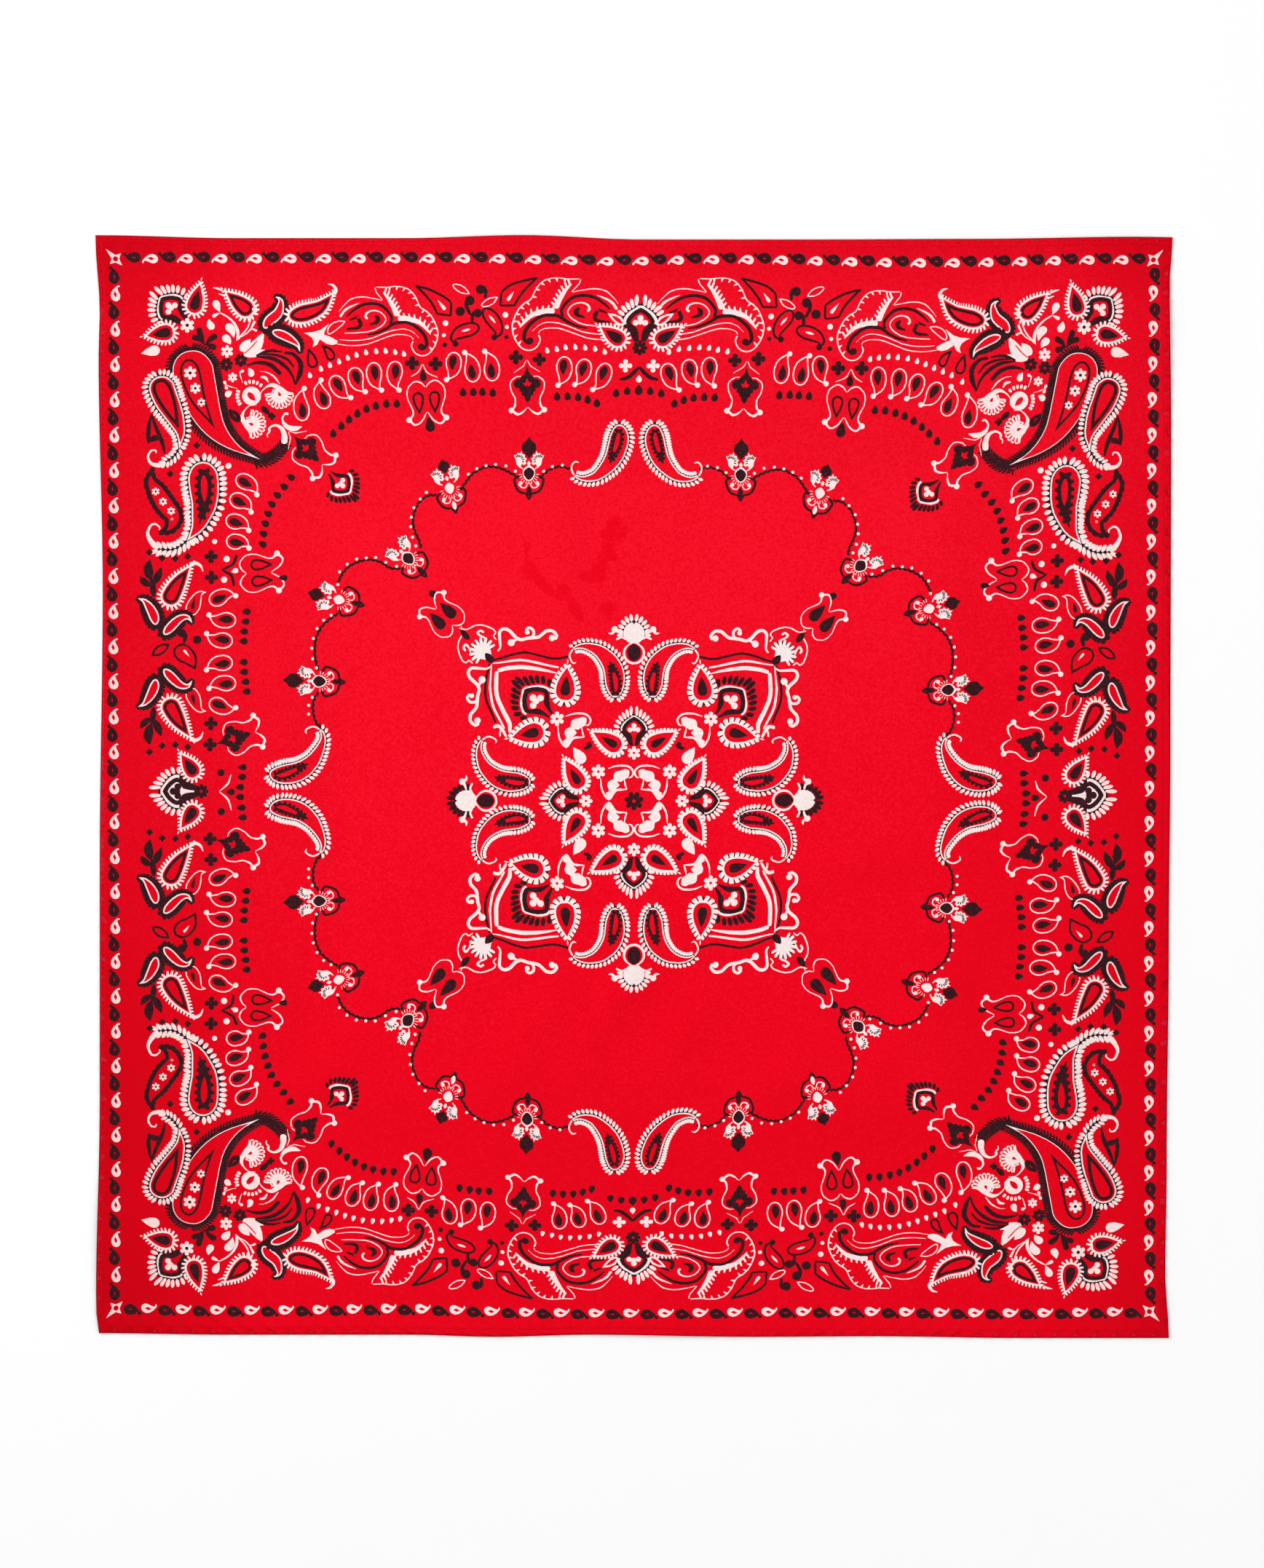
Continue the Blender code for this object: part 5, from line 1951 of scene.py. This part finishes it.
@dataclass(frozen=True)
class Stain:
    """A soft oval where the red is deeper: its middle, half sizes (mm) and bearing (degrees)."""

    x: float
    y: float
    along: float
    aside: float
    bearing: float

    def share(self, x: Wire, y: Wire) -> Wire:
        """1 in the middle, fading to 0 past the rim."""
        along, aside = along_and_aside(x, y, self.x, self.y, self.bearing)
        along, aside = along * (1 / (self.along * MM)), aside * (1 / (self.aside * MM))
        return 1.0 - (along * along + aside * aside).ramp(0.45, 1.35)


# Noise of the cotton in cells a metre, and how much each part of the grain tells in its tone
SLUB_CELLS, SPECK_CELLS, CLOUD_CELLS, STAIN_CELLS = 2600, 900, 26, 110
SLUB_STRETCH = 0.16
WEAVE_TONE, SLUB_TONE, SPECK_TONE, CLOUD_TONE = 0.05, 0.5, 2.4, 0.35
# Colour of the painted shadow along the rolled edge, and of a faint band over the hem's end
EDGE_SHADE = (0.10, 0.0, 0.004, 1.0)


@dataclass(frozen=True)
class Cotton:
    """Plain-woven cotton in one colour, with slubs, fine specks and painted shade on its margins.

    The weave is the product of two sines, one a thread wide each way, so that threads
    pass over and under in turn. Slubs are noise drawn out along each set of threads.
    """

    name: str
    colour: tuple[float, float, float]
    deep: tuple[float, float, float]
    pale: tuple[float, float, float]
    # shade is the colour of the painted shade on the margins; margin is how much of it shows
    shade: tuple[float, float, float] = (0.50, 0.0, 0.005)
    margin: float = 1.0
    mottle: float = 1.0
    # rise is the strength of the painted light and shade: paler above and left, deeper below
    rise: float = 0.0
    stains: tuple[Stain, ...] = ()
    # edge is the strength of the painted shadow along the rolled edge
    edge: float = 0.0
    roughness: float = 0.88
    thread: float = 0.42 * MM
    bump: float = 0.05 * MM

    def margin_shade_and_frame_tint(self, x: Wire, y: Wire) -> Wire:
        """Painted shade on the margins, most in the lower corners, with a faint darker print band.

        Each ramp starts and ends at a distance from the middle, in metres.
        """
        low, left = y * -1.0, x * -1.0
        far = x.absolute().maths("MAXIMUM", x.absolute(), y.absolute())
        # frame: a faint darkening over the band of the print near the border
        frame = far.ramp(0.14, 0.175) * (1.0 - far.ramp(0.220, 0.246)) * 0.10
        # The rest is painted shade over the margins, deepest in the lower corners
        return (left.ramp(0.18, 0.270) * 0.42 + low.ramp(0.02, 0.18) * left.ramp(0.17, 0.272) * 0.26
                + x.ramp(0.20, 0.272) * 0.34 + low.ramp(0.04, 0.25) * x.ramp(0.17, 0.272) * 0.12
                + y.ramp(0.23, 0.278) * 0.30 + low.ramp(0.21, 0.282) * 0.16 + frame)

    def lift(self, book: NodeBook, vector: Wire, x: Wire, y: Wire) -> Wire:
        """Painted light and shade: paler above and to the left, deeper below. Stains deepen it."""
        # Painted light and shade across the whole cloth
        lift = (y + x * -0.25).ramp(-0.16, 0.15) * self.rise - 0.5 * self.rise
        if not self.stains:
            return lift
        sway = book.noise(vector, STAIN_CELLS, 2.0) * (12 * MM) - 6 * MM
        stain = self.stains[0].share(x + sway, y - sway)
        for other in self.stains[1:]:
            stain = stain.maths("MAXIMUM", stain, other.share(x + sway, y - sway))
        return lift - stain * 0.55

    def material(self) -> bpy.types.Material:
        """The finish as a material."""
        book = NodeBook(self.name)
        vector, x, y = book.places()
        per_thread = np.pi / self.thread
        weave = (x * per_thread).sine() * (y * per_thread).sine()
        slubs = (book.noise(book.stretched(vector, 1.0, SLUB_STRETCH), SLUB_CELLS, 1.0)
                 + book.noise(book.stretched(vector, SLUB_STRETCH, 1.0), SLUB_CELLS, 1.0))
        specks = book.noise(vector, SPECK_CELLS, 2.0)
        clouds = book.noise(vector, CLOUD_CELLS, 3.0)
        grain = (weave * WEAVE_TONE + (slubs - 1.0) * SLUB_TONE + (specks - 0.5) * SPECK_TONE
                 + (clouds - 0.5) * CLOUD_TONE)
        # Painted shade: the margins turn darker and go towards the shade colour
        margin_shade_and_frame_tint = self.margin_shade_and_frame_tint(x, y) * self.margin
        # Tone: grain, the painted light and shade with the stains, less the painted margin shade
        tone = grain * self.mottle + self.lift(book, vector, x, y) + 0.5 - margin_shade_and_frame_tint * 0.6
        middle = book.blend(tone.ramp(0.5, 1.0, "LINEAR"), (*self.colour, 1.0), (*self.pale, 1.0))
        colour = book.blend((1.0 - tone).ramp(0.5, 1.0, "LINEAR"), middle, (*self.deep, 1.0))
        colour = book.blend(margin_shade_and_frame_tint, colour, (*self.shade, 1.0))
        if self.edge:
            inset = book.node("ShaderNodeAttribute", {"attribute_name": "inset_mm"}, {}, "Fac")
            # A faint darker band 3 to 5 mm inside the edge, over the inner end of the hem
            fold = inset.ramp(2.8, 3.7) * (1.0 - inset.ramp(3.9, 5.0)) * 0.10
            # Painted shadow along the rolled edge, in its outer 0.75 mm
            line = (1.0 - inset.ramp(0.05, 0.75)) * self.edge
            colour = book.blend(line + fold, colour, EDGE_SHADE)
        height = weave * 0.35 + slubs * 0.6 + specks * 0.4
        normal = book.node("ShaderNodeBump", {}, {"Strength": 0.5, "Distance": self.bump,
                                                  "Height": height}, "Normal")
        book.feed(Base_Color=colour, Normal=normal,
                  Roughness=specks * 0.12 + (self.roughness - 0.06))
        book.steady(Specular_IOR_Level=0.04, Sheen_Weight=0.03, Sheen_Roughness=0.5)
        book.steady(Sheen_Tint=(*self.pale, 1.0))
        return book.material


STAINS = tuple(Stain(*row) for row in (
    (-10.4, 130.5, 6.2, 8.4, -14), (-14.5, 116.5, 4.0, 9.5, -38), (-19.5, 108.0, 8.2, 5.0, 24),
    (-52.8, 110.0, 3.8, 4.8, 10), (-54.6, 119.5, 1.4, 6.0, 4), (-47.2, 104.0, 3.0, 7.5, 42),
    (-36.8, 98.6, 5.2, 4.0, 12), (-30.2, 90.5, 3.0, 6.6, 26), (-12.4, 89.2, 4.4, 4.2, 0),
))
# In these finishes, shade and margin set the painted shade on the margins
RED_GROUND = Cotton("printed_red", (0.804, 0.0015, 0.0135), (0.765, 0.0, 0.0085),
                    (0.850, 0.0056, 0.0200), rise=0.55, stains=STAINS, edge=0.7)
WHITE_INK = Cotton("white_print", (0.865, 0.745, 0.725), (0.84, 0.52, 0.50), (0.90, 0.82, 0.80),
                   (0.78, 0.52, 0.50), 0.5, 0.4)
BLACK_INK = Cotton("black_print", (0.032, 0.0085, 0.0115), (0.014, 0.005, 0.007),
                   (0.080, 0.015, 0.020), margin=0.0, mottle=0.5)
RED_BACK = Cotton("red_back", (0.66, 0.010, 0.028), (0.50, 0.006, 0.018), (0.78, 0.030, 0.055),
                  (0.48, 0.006, 0.018), 0.3, 0.5)
HEM_THREAD = Cotton("hem_thread", (0.80, 0.0060, 0.0200), (0.70, 0.002, 0.010),
                    (0.86, 0.022, 0.040), margin=0.8, mottle=0.5)


@dataclass(frozen=True)
class Paper:
    """The plain pale floor, with the faintest grain."""

    colour: tuple[float, float, float] = (0.93, 0.93, 0.93)

    def material(self) -> bpy.types.Material:
        """The finish as a material."""
        book = NodeBook("pale_floor")
        vector, _, _ = book.places()
        shade = book.noise(vector, 60, 2.0)
        tint = tuple(0.99 * value for value in self.colour)
        book.feed(Base_Color=book.blend(shade, (*self.colour, 1.0), (*tint, 1.0)),
                  Roughness=shade * 0.1 + 0.8)
        book.steady(Specular_IOR_Level=0.2)
        return book.material


# ---------------------------------------------------------------- pieces


def mesh_piece(name: str, places: Points, faces: list | Points, materials: list[bpy.types.Material],
               chosen: Points | None = None, normals: Points | None = None) -> bpy.types.Object:
    """A smooth-shaded mesh object at the origin.

    Args:
        name: its name.
        places: one row a vertex, in metres.
        faces: vertex numbers of each face, anticlockwise from outside.
        materials: its material slots.
        chosen: slot of each face; the first if left out.
        normals: unit normal of each vertex; worked out by Blender if left out.

    Returns:
        The object, linked to the scene.
    """
    mesh = bpy.data.meshes.new(name)
    mesh.from_pydata(places.tolist(), [], faces if isinstance(faces, list) else faces.tolist())
    mesh.validate()
    mesh.shade_smooth()
    for material in materials:
        mesh.materials.append(material)
    if chosen is not None:
        mesh.polygons.foreach_set("material_index", chosen.astype(np.int32))
    if normals is not None:
        mesh.normals_split_custom_set_from_vertices(normals.tolist())
    piece = bpy.data.objects.new(name, mesh)
    bpy.context.scene.collection.objects.link(piece)
    return piece


@dataclass(frozen=True)
class BakeMap:
    """Where each kind of face goes on the square that carries the cloth's colours.

    The ground and the underside keep the cloth's plan. The inks are folded: each face
    moves with the tile of the cloth that its middle lies on, so small faces stay large.
    """

    ground: tuple = (0.01, 0.01, 0.65, 0.65)
    back: tuple = (0.68, 0.01, 0.31, 0.65)
    white: tuple = (0.02, 0.69, 0.45, 0.25)
    black: tuple = (0.52, 0.69, 0.45, 0.25)
    rim: tuple = (0.01, 0.965, 0.98, 0.02)
    tile: float = 64 * MM
    spare: float = 0.06

    def plan(self, corners: Points, box: tuple) -> Points:
        """Faces' corners laid out as the cloth is."""
        size = np.array((FORM.width, FORM.height)) + 8 * MM
        return np.array(box[:2]) + (corners / size + 0.5) * np.array(box[2:])

    def folded(self, corners: Points, box: tuple) -> Points:
        """Faces' corners with every tile of the cloth laid on one place."""
        cell = np.floor(corners.mean(axis=1, keepdims=True) / self.tile)
        inside = (corners / self.tile - cell) * (1 - 2 * self.spare) + self.spare
        return np.array(box[:2]) + np.clip(inside, 0, 1) * np.array(box[2:])


@dataclass(frozen=True)
class Bandana:
    """The printed square of cotton: one thin closed shell."""

    pitch: float = 10.0 * MM
    face_rings: tuple = (0.0, 0.14, 0.5, 1.2, 2.7, 4.2, 5.4, 6.8, 8.6)
    back_rings: tuple = (0.0, 0.42, 0.6, 0.9, 4.2, 6.4, 8.6)

    def print_shapes(self) -> list[tuple[Ink, Points]]:
        """The print's outlines in metres, in the frame."""
        origin, scale = np.array(ORIGIN_PIXEL), np.array((PIXEL, -PIXEL))
        return [(ink, (outline - origin) * scale) for ink, outline in whole_print().shapes]

    def build(self) -> bpy.types.Object:
        """The shell, its print, its shading normals and its place on the bake square."""
        face_rings, back_rings = ([FORM.ring(inset * MM) - MIDDLE for inset in insets]
                                  for insets in (self.face_rings, self.back_rings))
        face = FlatMesh.cut(face_rings, self.pitch, self.print_shapes())
        back = FlatMesh.cut(back_rings, self.pitch, [])
        LOG.info("face has %d triangles", len(face.triangles))
        edge = len(face_rings[0])
        onwards = np.roll(face_rings[0], -1, axis=0) - np.roll(face_rings[0], 1, axis=0)
        outwards = np.column_stack((turned(onwards), np.zeros(edge)))
        outwards /= np.linalg.norm(outwards, axis=1)[:, None]
        parts, normals = [], []
        for flat, height, sign in ((face, FORM.face, 1), (back, FORM.underside, -1)):
            x, y = (flat.places + MIDDLE).T
            parts.append(np.column_stack((flat.places, height(x, y))))
            slopes = sign * FORM.normals(x, y, height)
            slopes[:edge] = outwards * 0.8 + (0, 0, 0.6 * sign)
            normals.append(slopes)
        shift = len(face.places)
        near = np.arange(edge)
        after = np.roll(near, -1)
        rim = np.column_stack((near, near + shift, after + shift, after))
        faces = face.triangles.tolist() + (back.triangles[:, ::-1] + shift).tolist() + rim.tolist()
        finishes = (RED_GROUND, WHITE_INK, BLACK_INK, RED_BACK)
        under = np.full(len(back.triangles), finishes.index(RED_BACK))
        chosen = np.concatenate((face.inks, under, np.zeros(edge, dtype=int)))
        materials = [finish.material() for finish in finishes]
        cloth = mesh_piece("bandana_cloth", np.concatenate(parts), faces, materials, chosen,
                           np.concatenate(normals))
        # Distance from the edge in mm, which places the painted shadow on the rim and the hem band
        inset = FORM.inset(*(np.concatenate((face.places, back.places)) + MIDDLE).T) / MM
        cloth.data.attributes.new("inset_mm", "FLOAT", "POINT").data.foreach_set("value", inset)
        self.lay_out(cloth, face, back, edge)
        return cloth

    def lay_out(self, cloth: bpy.types.Object, face: FlatMesh, back: FlatMesh, edge: int) -> None:
        """Give the shell its bake map: face, then underside, then rim."""
        book = BakeMap()
        corners = face.places[face.triangles]
        laid = book.plan(corners, book.ground)
        for ink, box in ((WHITE, book.white), (BLACK, book.black)):
            chosen = face.inks == ink.value
            laid[chosen] = book.folded(corners[chosen], box)
        under = book.plan(back.places[back.triangles[:, ::-1]], book.back)
        along = np.arange(edge) / edge
        x, y, wide, tall = book.rim
        low, high = np.full(edge, y), np.full(edge, y + tall)
        left, right = x + along * wide, x + (along + 1 / edge) * wide
        rim = np.stack([np.stack(pair, axis=1) for pair in ((left, high), (left, low), (right, low),
                                                            (right, high))], axis=1)
        layer = cloth.data.uv_layers.new(name="OFBake")
        values = np.concatenate([part.reshape(-1) for part in (laid, under, rim)])
        layer.data.foreach_set("uv", values.astype(np.float32))


@dataclass(frozen=True)
class HemFolds:
    """The turned strips that lie under the four edges of the cloth."""

    inset: float = 0.75 * MM
    width: float = 3.35 * MM
    thickness: float = 1.0 * MM
    lift: float = 0.06 * MM
    pitch: float = 5.0 * MM
    sides: tuple = ("top", "bottom", "left", "right")

    def profile(self) -> Points:
        """The strip's cross-section, inwards and up: a flat loop with round sides, as shares.

        It is a superellipse, whose sine and cosine are raised to a third of their power.
        """
        angle = np.linspace(0, 2 * np.pi, 16, endpoint=False)
        cosine, sine = np.cos(angle), np.sin(angle)
        return np.stack((0.5 + 0.5 * np.sign(cosine) * np.abs(cosine) ** 0.35,
                         0.5 + 0.5 * np.sign(sine) * np.abs(sine) ** 0.45), axis=1)

    def strip(self, side: str) -> tuple[Points, list]:
        """Places and faces of one strip, along it by round it, with a cap on each end."""
        level, far = side in ("top", "bottom"), side in ("top", "right")
        length = FORM.width if level else FORM.height
        start = (self.inset if level else self.inset + self.width + 0.4 * MM) / length
        count = int(length / self.pitch)
        along = np.linspace(start, 1 - start, count)[:, None]
        inwards, up = self.profile().T
        depth = (self.inset + inwards * self.width) / (FORM.height if level else FORM.width)
        across = 1 - depth if far else depth
        along, across = np.broadcast_arrays(along, across[None, :])
        x, y = FORM.outline_point(along, across) if level else FORM.outline_point(across, along)
        z = FORM.ground(x, y) + self.lift * (up > 0.5) + up * self.thickness
        places = np.stack((x - MIDDLE[0], y - MIDDLE[1], z), axis=-1).reshape(-1, 3)
        around = len(inwards)
        grid = np.arange(count * around).reshape(count, around)
        ahead = np.roll(grid, -1, axis=1)
        quads = np.stack((grid[:-1], grid[1:], ahead[1:], ahead[:-1]), axis=-1)
        faces = quads.reshape(-1, 4).tolist() + [grid[0].tolist(), grid[-1][::-1].tolist()]
        if side in ("top", "left"):
            faces = [face[::-1] for face in faces]
        return places, faces

    def build(self) -> list[bpy.types.Object]:
        """The four strips."""
        finish = RED_BACK.material()
        return [mesh_piece("turned_hem_" + side, *self.strip(side), [finish])
                for side in self.sides]


@dataclass(frozen=True)
class HemStitches:
    """The row of stitches along each edge: short capsules laid on the face."""

    inset: float = 1.55 * MM
    pitch: float = 3.0 * MM
    length: float = 2.2 * MM
    radius: float = 0.17 * MM
    rings: int = 5
    around: int = 6

    def build(self) -> bpy.types.Object:
        """All the stitches as one piece.

        Each stitch is a row of rings whose radius is the square root of a parabola, so
        that it thins to its ends, bent down into the cloth at both.
        """
        loop = FORM.ring(self.inset, 0.5 * MM)
        closed = np.concatenate((loop, loop[:1]))
        reach = distance_along(closed)
        count = int(reach[-1] / self.pitch)
        starts = np.arange(count) * reach[-1] / count
        share = np.linspace(-1.0, 1.0, self.rings)
        where = (starts[:, None] + 0.5 * self.pitch + share * 0.5 * self.length) % reach[-1]
        x, y = (np.interp(where, reach, closed[:, k]) for k in range(2))
        ahead = np.stack((np.gradient(x, axis=1), np.gradient(y, axis=1)), axis=-1)
        ahead /= np.linalg.norm(ahead, axis=-1, keepdims=True)
        thick = self.radius * np.sqrt(1.04 - share ** 2)
        angle = np.linspace(0, 2 * np.pi, self.around, endpoint=False)
        aside, up = thick[:, None] * np.cos(angle), thick[:, None] * np.sin(angle)
        z = FORM.face(x.ravel(), y.ravel()).reshape(x.shape)
        z = z + self.radius * (0.55 - 0.9 * share ** 2)
        places = np.stack((x[..., None] - ahead[..., 1:] * aside - MIDDLE[0],
                           y[..., None] + ahead[..., :1] * aside - MIDDLE[1],
                           z[..., None] + up), axis=-1)
        one = np.arange(self.rings * self.around).reshape(self.rings, self.around)
        beside = np.roll(one, -1, axis=1)
        quads = np.stack((one[:-1], one[1:], beside[1:], beside[:-1]), axis=-1)
        quads = quads.reshape(-1, 4)[:, ::-1]
        caps = np.array((one[0], one[-1][::-1]))
        shifts = (np.arange(count) * one.size)[:, None, None]
        faces = [*(quads + shifts).reshape(-1, 4).tolist(),
                 *(caps + shifts).reshape(-1, self.around).tolist()]
        return mesh_piece("hem_stitches", places.reshape(-1, 3), faces, [HEM_THREAD.material()])


# ---------------------------------------------------------------- the studio


@dataclass(frozen=True)
class Studio:
    """The pale floor, soft lights and a camera that looks straight down."""

    floor_size: float = 6.0
    floor_lines: int = 13
    floor_level: float = -0.05 * MM
    camera_height: float = 2.6
    frame_height: float = 797.8 * MM
    frame_middle: tuple[float, float] = (-1.0 * MM, 1.3 * MM)
    film_height: float = 24.0
    # Place, size and power of each lamp
    key: tuple = ((-1.5, 1.2, 1.7), 1.6, 47.5)
    fill: tuple = ((1.6, -0.9, 2.0), 2.2, 27.5)
    sky: float = 0.44

    def floor(self) -> bpy.types.Object:
        """A flat sheet of paper that the bandana lies on."""
        half = 0.5 * self.floor_size
        side = np.linspace(-half, half, self.floor_lines)
        x, y = np.meshgrid(side, side)
        grid = np.arange(side.size ** 2).reshape(side.size, side.size)
        faces = np.stack((grid[:-1, :-1], grid[:-1, 1:], grid[1:, 1:], grid[1:, :-1]), axis=-1)
        places = np.stack((x, y, np.full_like(x, self.floor_level)), axis=-1).reshape(-1, 3)
        return mesh_piece("floor", places, faces.reshape(-1, 4), [Paper().material()])

    def lamp(self, name: str, place: tuple, size: float, power: float) -> None:
        """A square soft light aimed at the middle of the cloth."""
        data = bpy.data.lights.new(name, "AREA")
        data.energy, data.size = power, size
        lamp = bpy.data.objects.new(name, data)
        lamp.location = place
        lamp.rotation_euler = (-Vector(place)).to_track_quat("-Z", "Y").to_euler()
        bpy.context.scene.collection.objects.link(lamp)

    def light(self) -> None:
        """A wide soft key from the upper left, a weaker fill and an even sky."""
        self.lamp("key_light", *self.key)
        self.lamp("fill_light", *self.fill)
        world = bpy.data.worlds.new("sky")
        world.use_nodes = True
        background = world.node_tree.nodes["Background"]
        background.inputs["Color"].default_value = (1.0, 1.0, 1.0, 1.0)
        background.inputs["Strength"].default_value = self.sky
        bpy.context.scene.world = world
        bpy.context.scene.view_settings.view_transform = "Standard"

    def camera(self) -> None:
        """A long lens over the middle of the frame."""
        data = bpy.data.cameras.new("camera")
        data.sensor_fit = "VERTICAL"
        data.sensor_height = self.film_height
        data.lens = self.film_height * self.camera_height / self.frame_height
        camera = bpy.data.objects.new("camera", data)
        camera.location = (*self.frame_middle, self.camera_height)
        bpy.context.scene.collection.objects.link(camera)
        bpy.context.scene.camera = camera


def main() -> None:
    """Build the bandana on its floor and tell the frame what each piece stands for."""
    logging.basicConfig(level=logging.INFO, format="%(name)s: %(message)s")
    cloth = Bandana().build()
    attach(cloth, "root")
    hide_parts("cloth_panel")
    LOG.info("%s: %d faces", cloth.name, len(cloth.data.polygons))
    hems = HemFolds().build()
    for hem, side in zip(hems, HemFolds.sides):
        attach(hem, "root")
        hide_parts("hem_" + side)
        LOG.info("%s: %d faces", hem.name, len(hem.data.polygons))
    stitches = HemStitches().build()
    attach(stitches, "root")
    LOG.info("%s: %d faces", stitches.name, len(stitches.data.polygons))
    studio = Studio()
    floor = studio.floor()
    studio.light()
    studio.camera()


if __name__ == "__main__":
    main()
